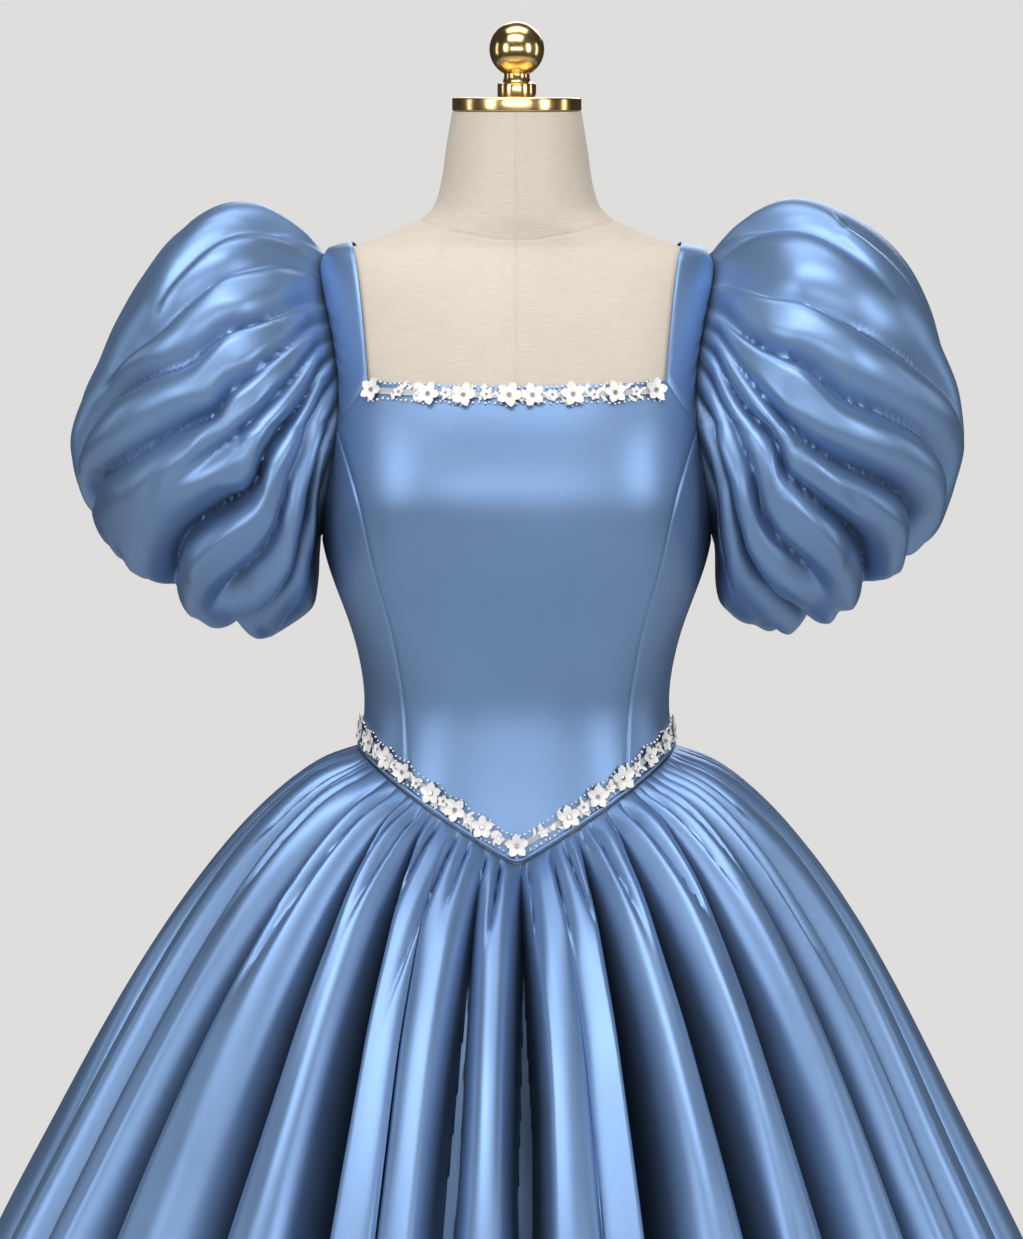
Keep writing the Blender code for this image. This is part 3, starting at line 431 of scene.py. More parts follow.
def wall_data(outer, inner, around=False):
    """Points, faces and UVs of a closed wall between two grids."""
    number = np.arange(outer[..., 0].size).reshape(outer.shape[:2])
    if around:
        number = np.concatenate([number, number[:, :1]], axis=1)
    wrapped = outer.reshape(-1, 3)[number]
    across, up = lengths_along(wrapped, 1), lengths_along(wrapped, 0)
    plane = np.stack(np.broadcast_arrays(across[None, :], up[:, None]), axis=-1).reshape(-1, 2)
    spot = np.arange(number.size).reshape(number.shape)
    front = np.stack([spot[:-1, :-1], spot[:-1, 1:], spot[1:, 1:], spot[1:, :-1]], axis=-1).reshape(-1, 4)
    edges = [spot[0], spot[-1, ::-1]]
    if not around:
        edges += [spot[::-1, 0], spot[:, -1]]
    rim = np.concatenate([np.stack([e[:-1], e[:-1], e[1:], e[1:]], axis=-1) for e in edges])
    corners = np.concatenate([front, front[:, [0, 3, 2, 1]], rim])
    behind = np.concatenate([front * 0, front * 0 + 1, rim * 0 + (0, 1, 1, 0)])
    faces = number.ravel()[corners] + behind * outer[..., 0].size
    points = np.concatenate([outer.reshape(-1, 3), inner.reshape(-1, 3)])
    return points, faces.tolist(), plane[corners]


def wall(name, outer, inner, around=False):
    return mesh_object(name, *wall_data(outer, inner, around))


def turned(name, profile, sides=96, smooth_shade=True):
    """A profile of (radius, z), from its low pole to its high one, turned about the z axis."""
    angle = np.linspace(0, 2 * math.pi, sides, endpoint=False)
    radius, z = (np.array(profile)[1:-1, k][:, None] for k in (0, 1))
    rings = np.stack([radius * np.cos(angle), radius * np.sin(angle), z + 0 * angle], axis=-1)
    poles = [[0.0, 0.0, profile[0][1]], [0.0, 0.0, profile[-1][1]]]
    points = np.concatenate([rings.reshape(-1, 3), poles])
    index = np.arange(rings.shape[0] * sides).reshape(-1, sides)
    after = np.roll(index, -1, axis=1)
    low, high = index.size, index.size + 1
    faces = np.stack([index[:-1], after[:-1], after[1:], index[1:]], axis=-1).reshape(-1, 4).tolist()
    faces += [[low, b, a] for a, b in zip(index[0].tolist(), after[0].tolist())]
    faces += [[high, a, b] for a, b in zip(index[-1].tolist(), after[-1].tolist())]
    return mesh_object(name, points, faces, smooth_shade=smooth_shade)


def mirrored(grid, mirror):
    """The grid as it is, or flipped to the other side with its columns turned round."""
    return grid if mirror > 0 else grid[:, ::-1] * np.array([-1.0, 1.0, 1.0])


def surface_area(piece):
    """Half the area of a wall: the cloth that it is made of."""
    return sum(p.area for p in piece.data.polygons) / 2


def triangles(*pieces):
    return sum(len(p.vertices) - 2 for piece in pieces for p in piece.data.polygons)


SIDES = (("left", 1), ("right", -1))
gown = {}
print("a wall of satin is", SATIN * 1000, "mm thick")

# %% [markdown]
# ## The bodice panels
# Three panels in front and four behind are joined by seams that bend over the bust. Each panel is a
# Coons patch: four edges are drawn, and the inside is blended from them. A real seam allowance pulls
# the cloth in slightly, so the wall dips along its edges and each seam shows as a fine groove.

# %% Panels
PANEL_ROWS = 64
SEAM_DIP, SEAM_ROLL = 0.0009, 0.0016
TRIM_LIFT = EASE + SATIN + 0.0005


def coons(bottom, top, left, right, s, t):
    """Directions and heights inside four edges, each a function that gives (turn, z) at a share."""
    t, s = np.asarray(t)[:, None], np.asarray(s)[None, :]
    grids = []
    for k in (0, 1):
        low, high = bottom(s[0])[k], top(s[0])[k]
        west, east = left(t[:, 0])[k], right(t[:, 0])[k]
        ruled = mix(low[None, :], high[None, :], t)
        west_bow = west[:, None] - mix(low[0], high[0], t)
        east_bow = east[:, None] - mix(low[-1], high[-1], t)
        grids.append(ruled + west_bow * (1 - s) + east_bow * s)
    return grids


def edge_distance(points, edges):
    """The distance of each grid point to the nearest of the named edges."""
    along = np.linalg.norm(np.diff(points, axis=1), axis=-1)
    up = np.linalg.norm(np.diff(points, axis=0), axis=-1)
    from_left = np.pad(np.cumsum(along, axis=1), ((0, 0), (1, 0)))
    from_low = np.pad(np.cumsum(up, axis=0), ((1, 0), (0, 0)))
    found = {
        "left": from_left,
        "right": from_left[:, -1:] - from_left,
        "low": from_low,
        "top": from_low[-1:] - from_low,
    }
    return np.min([found[e] for e in edges], axis=0)


def seam_dip(base, edges):
    """How far the satin is pulled in along those edges."""
    return SEAM_DIP * np.exp(-((edge_distance(base, edges) / SEAM_ROLL) ** 2))


def fitted(name, turn, z, edges=("left", "right", "top"), lift=EASE, thick=SATIN, rise=0.0, mirror=1):
    """A panel that lies on the form at this grid of directions and heights."""
    base = form_point(turn, z)
    normals = grid_normals(base)
    dip = seam_dip(base, edges) if edges else 0.0
    top = np.broadcast_to(lift + thick - dip + rise, z.shape)
    outer = base + normals * top[..., None]
    inner = base + normals * lift
    return wall(name, mirrored(outer, mirror), mirrored(inner, mirror))


def fitted_pair(word, turn, z):
    """The left panel and, flipped, the right one."""
    for side, mirror in SIDES:
        name = f"{word}_{side}"
        gown[name] = fitted(f"{name}_satin", turn, z, mirror=mirror)


def joined(*parts):
    """Rows of shares end to end, each without the last value, which the next one begins with."""
    return np.concatenate([part[:-1] for part in parts[:-1]] + [parts[-1]])


print("panels have", PANEL_ROWS, "rows")

# %% [markdown]
# ## The panels in front
# The centre front runs from the V up to the neckline and out to the armholes under the straps. Side
# fronts join it at the princess seams.

# %% Front panels
CORNER, CORNER_COLUMNS, FRONT_COLUMNS, SIDE_COLUMNS = 1 / 6, 12, 56, 40
rows, side_columns = eased(PANEL_ROWS), eased(SIDE_COLUMNS)
front_columns = joined(
    eased(CORNER_COLUMNS, 0, CORNER),
    eased(FRONT_COLUMNS, CORNER, 1 - CORNER),
    eased(CORNER_COLUMNS, 1 - CORNER, 1),
)
front_foot, front_foot_z = princess_foot("front_x", 1)
back_foot, back_foot_z = princess_foot("back_x", -1)


def front_top(s):
    share = np.clip((CORNER - np.minimum(s, 1 - s)) / CORNER, 0, 1)
    x = np.clip((s - 0.5) / (0.5 - CORNER), -1, 1) * STRAP_INNER_X_FOOT
    turn, z = turn_at(x, neckline_height(x), 1), neckline_height(x)
    out_turn, out_z = diagonal_seam(1, NECKLINE_Z + NECKLINE_LIFT, share)
    return np.where(share > 0, np.sign(s - 0.5) * out_turn, turn), np.where(share > 0, out_z, z)


def waist_edge(start, stop):
    def edge(s):
        turn = mix(start, stop, s)
        return turn, waist_height(turn)

    return edge


def front_seam(t):
    return princess_seam("front_x", 1, front_foot_z, t)


def back_seam(t):
    return princess_seam("back_x", -1, back_foot_z, t)


def side_seam(t):
    return np.full_like(t, math.pi / 2), mix(SIDE_WAIST_Z, ARMHOLE_LOW_Z, t)


turn, z = coons(
    waist_edge(-front_foot, front_foot),
    front_top,
    lambda t: (-front_seam(t)[0], front_seam(t)[1]),
    front_seam,
    front_columns,
    rows,
)
gown["bodice_front"] = fitted("bodice_front_satin", turn, z)

turn, z = coons(
    waist_edge(front_foot, math.pi / 2),
    lambda s: armhole_place(mix(FOOT_V, math.pi, s)),
    front_seam,
    side_seam,
    side_columns,
    rows,
)
fitted_pair("bodice_side_front", turn, z)
print(len(gown), "panels in front")

# %% [markdown]
# ## The panels behind
# Two centre backs leave a narrow gap for the zip, and side backs join them to the side seams.

# %% Back panels
ZIP_HALF, BACK_MIDDLE = 0.0016, math.pi - 0.02
BACK_CORNER, BACK_CORNER_COLUMNS, BACK_COLUMNS = 1 / 3, 14, 36
back_columns = joined(eased(BACK_CORNER_COLUMNS, 0, BACK_CORNER), eased(BACK_COLUMNS, BACK_CORNER, 1))


def back_top(s):
    share = np.clip(1 - s / BACK_CORNER, 0, 1)
    out_turn, out_z = diagonal_seam(-1, BACK_NECKLINE_Z, share)
    inwards = np.clip((s - BACK_CORNER) / (1 - BACK_CORNER), 0, 1)
    x = mix(STRAP_INNER_X_FOOT, ZIP_HALF, inwards)
    level_turn = turn_at(x, np.full_like(x, BACK_NECKLINE_Z), -1)
    return np.where(share > 0, out_turn, level_turn), np.where(share > 0, out_z, BACK_NECKLINE_Z)


def centre_back(t):
    z = mix(float(waist_height(BACK_MIDDLE)), BACK_NECKLINE_Z, t)
    return turn_at(np.full_like(z, ZIP_HALF), z, -1), z


centre_waist = waist_edge(back_foot, centre_back(0.0)[0])
fitted_pair("bodice_back", *coons(centre_waist, back_top, back_seam, centre_back, back_columns, rows))


def back_armhole(s):
    turn, z = armhole_place(mix(math.pi, 2 * math.pi - FOOT_V, s))
    turn = np.where(s <= 0, math.pi / 2, turn)
    return turn, z


side_waist = waist_edge(math.pi / 2, back_foot)
fitted_pair("bodice_side_back", *coons(side_waist, back_armhole, side_seam, back_seam, side_columns, rows))
print(len(gown), "bodice panels,", triangles(*gown.values()), "triangles")

# %% [markdown]
# ## The straps
# A strap is a short tapered band that rises from the neckline's corner over the shoulder. It is a
# grid too: its inner edge is straight, and its outer edge follows the armhole.

# %% Straps
STRAP_ROWS, STRAP_COLUMNS = 40, 22
SHOULDER_LOW, SHOULDER_HIGH, SHOULDER_STEPS = 1.45, 1.50, 400


def ridge_height(x):
    """The height of the shoulder line at this x."""
    z = np.linspace(SHOULDER_LOW, SHOULDER_HIGH, SHOULDER_STEPS)
    half = form_line("half_width", z)
    falling = slice(int(np.argmax(half)), None)
    return np.interp(-np.abs(x), -half[falling], z[falling])


def strap_grid(facing, corner_z):
    s = np.linspace(0, 1, STRAP_ROWS)[:, None]
    t = eased(STRAP_COLUMNS)[None, :]
    climb = np.sin(s * math.pi / 2)
    foot_z = mix(corner_z, STRAP_FOOT_Z, t)
    inner_x = mix(STRAP_INNER_X_FOOT, STRAP_INNER_X_TOP, s)
    outer_x = armhole_x(mix(STRAP_FOOT_Z, ARMHOLE_TOP_Z, climb))
    x = mix(inner_x, outer_x, t)
    z = foot_z + (ridge_height(x) - foot_z) * climb
    y = depth_at(x, z, facing)
    y[-1] = 0.0
    return np.stack([x, -facing * y, z], axis=-1)


def sew_strap(word, facing, corner_z):
    base = strap_grid(facing, corner_z)
    if facing < 0:
        base = base[:, ::-1]
    normals = grid_normals(base)
    normals[-1, :, 1] = 0.0  # both halves face straight up where they meet on the shoulder
    normals = unit(normals)
    dip = seam_dip(base, ("left", "right", "low"))
    outer = base + normals * (EASE + SATIN - dip)[..., None]
    inner = base + normals * EASE
    for side, mirror in SIDES:
        name = f"strap_{word}_{side}"
        gown[name] = wall(f"{name}_satin", mirrored(outer, mirror), mirrored(inner, mirror))


sew_strap("front", 1, NECKLINE_Z + NECKLINE_LIFT)
sew_strap("back", -1, BACK_NECKLINE_Z)
print("4 straps")

# %% [markdown]
# ## Creases
# Gathered satin falls into creases that start at the seam, wander and fade. One crease is a row of a
# table: where it lies at a few stations on its way, where it begins and ends, how deep and how wide
# it is. The cloth's depth at a point is a soft maximum over all of them, so that creases which meet
# don't dig a hole. Small ones near a seam come from a seeded generator, as uneven as real gathers.

# %% Crease field
SOFT_MAX, ARCH_POWER = 5.0, 0.62
VALLEY_SOFTNESS, SIDE_BLEND = 0.0022, 0.010
RIPPLE_PEAK = 1.4


def arch(share):
    """1 at share 0, falling steeply and then gently to 0 at share 1, as a pillow rounds away."""
    return 1 - (1 - (1 - np.clip(share, 0, 1)) ** 2) ** ARCH_POWER


def high_side(distance):
    """0 on a crease's low side and 1 on its high side, with no step between them."""
    return smooth(0.5 + distance / SIDE_BLEND)


def crease_profile(distance, wide, lean=0.0):
    """1 along the crease, falling off to both sides; lean makes one side steeper."""
    side = 1 + lean * (2 * high_side(distance) - 1)
    return arch(np.hypot(distance, VALLEY_SOFTNESS) / (wide * side))


def window(share, begin, end, fade_in, fade_out):
    return smooth((share - begin) / fade_in) * (1 - smooth((share - end) / fade_out))


def blend_depths(depths):
    """A soft maximum of many depths."""
    return sum(np.clip(d, 0, None) ** SOFT_MAX for d in depths) ** (1 / SOFT_MAX)


def ripple(a, b, seed, count=7):
    """A soft uneven wave of two coordinates, between about -1 and 1."""
    draw = np.random.default_rng(seed)
    total = 0.0
    for _ in range(count):
        fa, fb = draw.uniform(0.4, 1.6, 2)
        phase = draw.uniform(0, 2 * math.pi)
        total = total + np.sin(2 * math.pi * (fa * a + draw.choice((-1, 1)) * fb * b) + phase)
    return total / math.sqrt(count) / RIPPLE_PEAK


print("soft maximum of two 10 mm creases:", round(float(blend_depths([0.01, 0.01])) * 1000, 1), "mm")

# %% [markdown]
# ## The puff sleeves
# A sleeve is a balloon held by two rings, the armhole and the small cuff that is turned up inside.
# The outline in front is a table of distances from the puff's middle. A grid of lines from ring to
# ring covers it: u runs from the armhole to the cuff, v round it from the top towards the front.

# %% Puff shape
Outline = namedtuple("Outline", "angle right left")
PUFF_OUTLINE = (
    Outline(-180, 0.110, 0.110),
    Outline(-140, 0.118, 0.118),
    Outline(-118, 0.139, 0.139),
    Outline(-107, 0.160, 0.158),
    Outline(-95, 0.171, 0.168),
    Outline(-82, 0.166, 0.164),
    Outline(-65, 0.157, 0.157),
    Outline(-45, 0.144, 0.144),
    Outline(-28, 0.141, 0.143),
    Outline(-10, 0.139, 0.142),
    Outline(6, 0.131, 0.137),
    Outline(22, 0.124, 0.133),
    Outline(38, 0.127, 0.140),
    Outline(54, 0.136, 0.151),
    Outline(70, 0.153, 0.162),
    Outline(90, 0.171, 0.172),
    Outline(106, 0.163, 0.163),
    Outline(120, 0.150, 0.150),
    Outline(180, 0.110, 0.110),
)
PUFF_MIDDLE = np.array([0.215, 0.004, 1.331])
PUFF_HALF_DEPTH = 0.134
PUFF_TURN = math.radians(12)
CUFF_AIM, BODY_AIM = math.radians(-72), math.radians(180)
CUFF_RING = 1.50
Swell = namedtuple("Swell", "share size")
PUFF_SWELL = (
    Swell(0.00, 1.00),
    Swell(0.65, 1.00),
    Swell(0.83, 1.035),
    Swell(0.91, 1.010),
    Swell(1.00, 0.800),
)
ARMHOLE_BLEND, STALK_END, STALK, HOLE_SHRINK, PUFF_CLEAR = 0.40, 0.05, 0.0045, 0.966, 0.0058
HOLE_MIDDLE = np.array([0.150, 0.0, ARMHOLE_MIDDLE])
PUFF_SPAN = np.array([0.14, PUFF_HALF_DEPTH, 0.14])
ARMHOLE_POLE = complex(math.cos(BODY_AIM), math.sin(BODY_AIM))
CUFF_POLE = complex(math.cos(CUFF_AIM), math.sin(CUFF_AIM))
OVER_AIM = (BODY_AIM + CUFF_AIM) / 2
OVER_POLE = complex(math.cos(OVER_AIM), math.sin(OVER_AIM))
OVER_ANGLE = float(np.angle((OVER_POLE - ARMHOLE_POLE) / (OVER_POLE - CUFF_POLE)))


def puff_direction(place):
    """A unit direction from the puff's middle. The place is a complex number: its real part runs from
    the armhole's side to the cuff's, its imaginary part round them, from the top towards the front."""
    ratio = np.exp(np.conj(place) + 1j * OVER_ANGLE)
    w = (ARMHOLE_POLE - ratio * CUFF_POLE) / (1 - ratio + 1e-9)
    size = np.abs(w) ** 2
    x, z, y = 2 * w.real / (1 + size), 2 * w.imag / (1 + size), (size - 1) / (1 + size)
    c, s = math.cos(PUFF_TURN), math.sin(PUFF_TURN)
    return np.stack([x, c * y - s * z, s * y + c * z], axis=-1)


def puff_place(direction, near):
    """The place of a direction: the reverse of puff_direction."""
    c, s = math.cos(PUFF_TURN), math.sin(PUFF_TURN)
    x, y, z = np.moveaxis(unit(direction), -1, 0)
    y, z = c * y + s * z, c * z - s * y
    w = (x + 1j * z) / (1 - y)
    found = np.log((w - ARMHOLE_POLE) / (w - CUFF_POLE))
    around = OVER_ANGLE - found.imag
    around = around + 2 * math.pi * np.round((near - around) / (2 * math.pi))
    return found.real + 1j * around


def puff_reach(direction, side):
    aim = np.degrees(np.arctan2(direction[..., 2], direction[..., 0]))
    reach = read(PUFF_OUTLINE, "angle", side, aim)
    return direction * np.stack([reach, np.full_like(reach, PUFF_HALF_DEPTH), reach], axis=-1)


def puff_surface(u, v, depth, side):
    """The outside of the puff, with its folds cut in by depth."""
    turn, z = armhole_place(v)
    away = form_normal(turn, z)
    hole = HOLE_MIDDLE + (form_point(turn, z) - HOLE_MIDDLE) * HOLE_SHRINK
    start = puff_place((hole - PUFF_MIDDLE) / PUFF_SPAN, v)
    d = puff_direction(mix(start, CUFF_RING + 1j * v, u))
    swell = read(PUFF_SWELL, "share", "size", u)
    balloon = PUFF_MIDDLE + puff_reach(d, side) * swell[..., None] - d * depth[..., None]
    begin = PUFF_MIDDLE + puff_reach(puff_direction(start), side)
    rise = STALK * np.clip(u / STALK_END, 0, 1) + EASE
    hold = 1 - smooth(u / ARMHOLE_BLEND)
    points = balloon + (hole - begin) * hold[..., None] + away * (rise * hold)[..., None]
    return kept_clear(points, PUFF_CLEAR * smooth(u / STALK_END))


def kept_clear(points, margin):
    """Points that come nearer to the form than margin are moved out to it."""
    turn = np.arctan2(points[..., 0], -points[..., 1])
    radius = np.hypot(points[..., 0], points[..., 1])
    least = form_radius(turn, points[..., 2]) + margin
    scale = np.where((margin > 0) & (radius < least), least / radius, 1.0)
    return points * np.stack([scale, scale, np.ones_like(scale)], axis=-1)


print("a puff is about", round(2 * PUFF_SPAN[0], 2), "m wide")

# %% [markdown]
# ## The sleeves' creases
# The two sleeves were gathered by hand, so they differ. Each row below is one crease: the angle v, in
# degrees, at nine stations on the way from the armhole to the cuff, where it begins and ends, its depth,
# its width and its lean. Those in front follow the picture, and those behind are of the same kind. The
# pinches are where the puff turns under to its cuff.

# %% Crease tables
STATIONS = (0.0, 0.06, 0.12, 0.20, 0.30, 0.42, 0.55, 0.70, 1.0)
Crease = namedtuple("Crease", "path begin end deep wide lean")
SLEEVE_CREASES = {
    "right": (
        Crease((-4, 16, 28, 34, 38, 40, 40, 40, 40), 0.0, 0.16, 0.011, 0.026, 0.3),
        Crease((27, 38, 45, 50, 42, 28, 20, 16, 14), 0.0, 0.30, 0.013, 0.030, -0.3),
        Crease((47, 56, 60, 63, 59, 37, 24, 16, 12), 0.0, 0.50, 0.014, 0.034, -0.3),
        Crease((57, 64, 68, 70, 71, 63, 48, 15, 8), 0.0, 0.70, 0.016, 0.036, -0.3),
        Crease((65, 71, 75, 77, 77, 73, 64, 52, 46), 0.0, 0.30, 0.014, 0.030, 0.0),
        Crease((72, 79, 84, 87, 87, 84, 79, 74, 70), 0.0, 1.0, 0.020, 0.036, -0.4),
        Crease((80, 89, 95, 100, 100, 98, 96, 94, 92), 0.0, 0.52, 0.013, 0.030, 0.2),
        Crease((92, 108, 116, 121, 122, 122, 122, 122, 122), 0.0, 0.90, 0.014, 0.034, 0.0),
        Crease((112, 136, 146, 148, 148, 148, 148, 148, 150), 0.0, 0.45, 0.006, 0.030, 0.0),
        Crease((14, 12, 12, 12, 12, 9, 6, 4, 4), 0.22, 0.66, 0.008, 0.030, -0.4),
        Crease((-14, -20, -24, -26, -26, -24, -22, -20, -18), 0.0, 0.30, 0.012, 0.028, 0.3),
        Crease((-34, -44, -50, -50, -44, -38, -32, -26, -22), 0.0, 0.50, 0.014, 0.032, 0.2),
        Crease((-50, -58, -64, -66, -62, -54, -46, -40, -34), 0.0, 0.90, 0.016, 0.034, 0.3),
        Crease((-62, -70, -76, -80, -80, -74, -66, -60, -54), 0.0, 0.55, 0.016, 0.028, -0.1),
        Crease((-74, -84, -90, -94, -94, -90, -84, -78, -74), 0.0, 1.0, 0.017, 0.034, 0.2),
        Crease((-86, -100, -108, -112, -112, -108, -104, -102, -100), 0.0, 0.75, 0.014, 0.030, 0.0),
        Crease((-104, -126, -138, -142, -142, -138, -134, -130, -128), 0.0, 0.90, 0.009, 0.030, 0.0),
    ),
    "left": (
        Crease((-6, 15, 24, 30, 34, 36, 36, 36, 36), 0.0, 0.14, 0.011, 0.026, 0.3),
        Crease((34, 48, 54, 57, 50, 28, 16, 8, 4), 0.0, 0.40, 0.014, 0.034, -0.3),
        Crease((50, 62, 66, 68, 66, 55, 36, 20, 14), 0.0, 0.58, 0.015, 0.034, -0.3),
        Crease((59, 68, 73, 76, 77, 73, 60, 44, 38), 0.0, 0.74, 0.017, 0.034, -0.2),
        Crease((67, 75, 80, 83, 83, 81, 77, 71, 66), 0.0, 1.0, 0.019, 0.034, -0.3),
        Crease((75, 84, 90, 94, 95, 94, 92, 90, 88), 0.0, 0.48, 0.013, 0.030, 0.1),
        Crease((87, 99, 106, 111, 112, 112, 112, 113, 113), 0.0, 1.0, 0.015, 0.032, 0.1),
        Crease((108, 128, 138, 142, 142, 142, 142, 142, 144), 0.0, 0.85, 0.008, 0.030, 0.0),
        Crease((20, 20, 18, 16, 14, 8, 4, 2, 0), 0.20, 0.74, 0.008, 0.032, -0.4),
        Crease((-18, -24, -28, -30, -30, -28, -24, -22, -18), 0.0, 0.34, 0.012, 0.028, 0.2),
        Crease((-38, -48, -54, -54, -48, -42, -36, -30, -26), 0.0, 0.80, 0.015, 0.032, 0.3),
        Crease((-52, -62, -68, -72, -68, -60, -54, -46, -40), 0.0, 0.45, 0.015, 0.030, 0.0),
        Crease((-64, -74, -80, -84, -84, -80, -74, -66, -60), 0.0, 1.0, 0.017, 0.034, 0.2),
        Crease((-78, -88, -96, -100, -100, -96, -92, -88, -84), 0.0, 0.65, 0.015, 0.030, -0.1),
        Crease((-90, -104, -112, -118, -118, -114, -110, -108, -106), 0.0, 0.90, 0.014, 0.032, 0.0),
        Crease((-108, -130, -142, -146, -146, -144, -142, -140, -138), 0.0, 0.85, 0.008, 0.030, 0.0),
    ),
}
PINCHES = {
    "right": (15, 28, 42, 58, 75, 93, 108, 128, 152, 176, 201, 224, 243, 262, 281, 300, 318, 336, 356),
    "left": (8, 24, 38, 54, 70, 88, 104, 124, 148, 172, 198, 221, 240, 258, 277, 296, 315, 333, 351),
}
print({side: len(rows_of_one) for side, rows_of_one in SLEEVE_CREASES.items()}, "creases")

# %% [markdown]
# ## How deep the sleeves' cloth lies
# Where creases crowd together near the armhole, each keeps to its share of the room, as real gathers
# do. The small ones come from one seeded draw for each sleeve: pinches over the cuff, short gathers at
# the armhole, and soft wrinkles between.

# %% Sleeve depths
SLEEVE_RUN, PUFF_OUT = 0.30, 0.0035
CREASE_BASE = ((0.0, 0.10), (0.05, 0.32), (0.20, 0.80), (0.45, 1.0), (0.80, 1.0), (0.93, 0.35), (1.0, 0.05))
CREASE_DEEPEN, CREASE_SHARE, CREASE_STEEP = 2.0, 0.56, 1.9
CREASE_FADE_IN, CREASE_FADE_OUT = 0.01, 0.22
PATH_U = np.linspace(0, 1, 201)
PATH_SOFTNESS, FADED_ROOM, NO_NEIGHBOUR = 0.045, 0.6, 9.0
PINCH_BEGIN, PINCH_END, PINCH_FADES = (0.70, 0.80), 0.90, (0.16, 0.10)
PINCH_WANDER, PINCH_DEEP, PINCH_WIDE, PINCH_LEAN = (-2, 2), (0.007, 0.013), (0.012, 0.018), (-0.3, 0.3)
SEAM_GATHERS, GATHER_WANDER, GATHER_WIDE, GATHER_START = 62, (-0.3, 0.3), 0.0045, 0.012
GATHER_END, GATHER_DEEP = (0.02, 0.10), (0.0020, 0.0045)
SOFT_WRINKLES, WRINKLE_SLANT, WRINKLE_FADES = 14, (-0.4, 0.4), (0.12, 0.15)
WRINKLE_BEGIN, WRINKLE_LONG = (0.05, 0.6), (0.08, 0.22)
WRINKLE_DEEP, WRINKLE_WIDE, WRINKLE_LEAN = (0.0015, 0.0040), (0.014, 0.026), (-0.4, 0.4)
DENT, DENT_WAVES = 0.0016, (0.6, 1.8)


def crease_line(path, at):
    """The crease's angle at each u of at, with the bends of its path rounded."""
    plain = through(STATIONS, path, PATH_U)
    soft = softened(plain, PATH_SOFTNESS / PATH_U[1], mode="reflect", reflect_type="odd")
    return np.interp(at, PATH_U, soft)


def around_distance(v, centre, scale, slant=0.0):
    """The distance in metres from a line at angle centre. slant is the line's turn for each unit of u:
    a line that runs across the sleeve is nearer than the way round it says."""
    away = np.angle(np.exp(1j * (v - centre)))
    return away * scale / np.hypot(1, slant * scale / SLEEVE_RUN)


def crease_room(lines, active):
    """For each crease and row, the angle to the next crease on its low and high side. A crease that
    fades counts as further away."""
    away = np.angle(np.exp(1j * (lines[None] - lines[:, None])))
    far = np.abs(away) + FADED_ROOM * (1 - active[None]) ** 2
    low = np.where(away < -1e-6, far, NO_NEIGHBOUR).min(axis=1)
    high = np.where(away > 1e-6, far, NO_NEIGHBOUR).min(axis=1)
    return low, high


def main_creases(u, v, step, side):
    """The depth of each crease of the table. step is the way round the sleeve for each unit of v."""
    base = through(*zip(*CREASE_BASE), u)
    row_u, row_step = u[:, 0], step.mean(axis=1)
    creases = SLEEVE_CREASES[side]
    lines = np.radians([crease_line(c.path, row_u) for c in creases])
    fades = CREASE_FADE_IN, CREASE_FADE_OUT
    active = np.array([window(row_u, c.begin - CREASE_FADE_IN, c.end, *fades) for c in creases])
    rooms = crease_room(lines, active)
    for k, c in enumerate(creases):
        slope = np.gradient(lines[k], row_u)[:, None]
        away = around_distance(v, lines[k][:, None], step, slope)
        across = CREASE_SHARE * row_step / np.hypot(1, slope[:, 0] * row_step / SLEEVE_RUN)
        low, high = (np.minimum(c.wide, room[k] * across)[:, None] for room in rooms)
        wide = mix(low * (1 - c.lean / 2), high * (1 + c.lean / 2), high_side(away))
        deep = np.minimum(CREASE_DEEPEN * c.deep * base, CREASE_STEEP * (low + high) / 2)
        yield deep * active[k][:, None] * crease_profile(away, wide)


def small_creases(u, v, step, side, seed):
    """The depth of each pinch, gather and wrinkle."""
    draw = np.random.default_rng(seed)

    def crease(line, reach, deep, wide, lean=0.0):
        return deep * reach * crease_profile(around_distance(v, line, step), wide, lean)

    for angle in PINCHES[side]:
        line = math.radians(angle + draw.uniform(*PINCH_WANDER))
        reach = window(u, draw.uniform(*PINCH_BEGIN), PINCH_END, *PINCH_FADES)
        deep, wide = draw.uniform(*PINCH_DEEP), draw.uniform(*PINCH_WIDE)
        yield crease(line, reach, deep, wide, draw.uniform(*PINCH_LEAN))
    for k in range(SEAM_GATHERS):
        line = 2 * math.pi * (k + draw.uniform(*GATHER_WANDER)) / SEAM_GATHERS
        end, deep = draw.uniform(*GATHER_END), draw.uniform(*GATHER_DEEP)
        line = line + draw.uniform(*GATHER_WANDER) * u
        reach = np.clip(u / GATHER_START, 0.25, 1) * (1 - smooth((u - end * 0.4) / end))
        yield crease(line, reach, deep, GATHER_WIDE)
    for _ in range(SOFT_WRINKLES):
        line = draw.uniform(0, 2 * math.pi) + draw.uniform(*WRINKLE_SLANT) * u
        begin, length = draw.uniform(*WRINKLE_BEGIN), draw.uniform(*WRINKLE_LONG)
        deep, wide = draw.uniform(*WRINKLE_DEEP), draw.uniform(*WRINKLE_WIDE)
        reach = window(u, begin, begin + length, *WRINKLE_FADES)
        yield crease(line, reach, deep, wide, draw.uniform(*WRINKLE_LEAN))


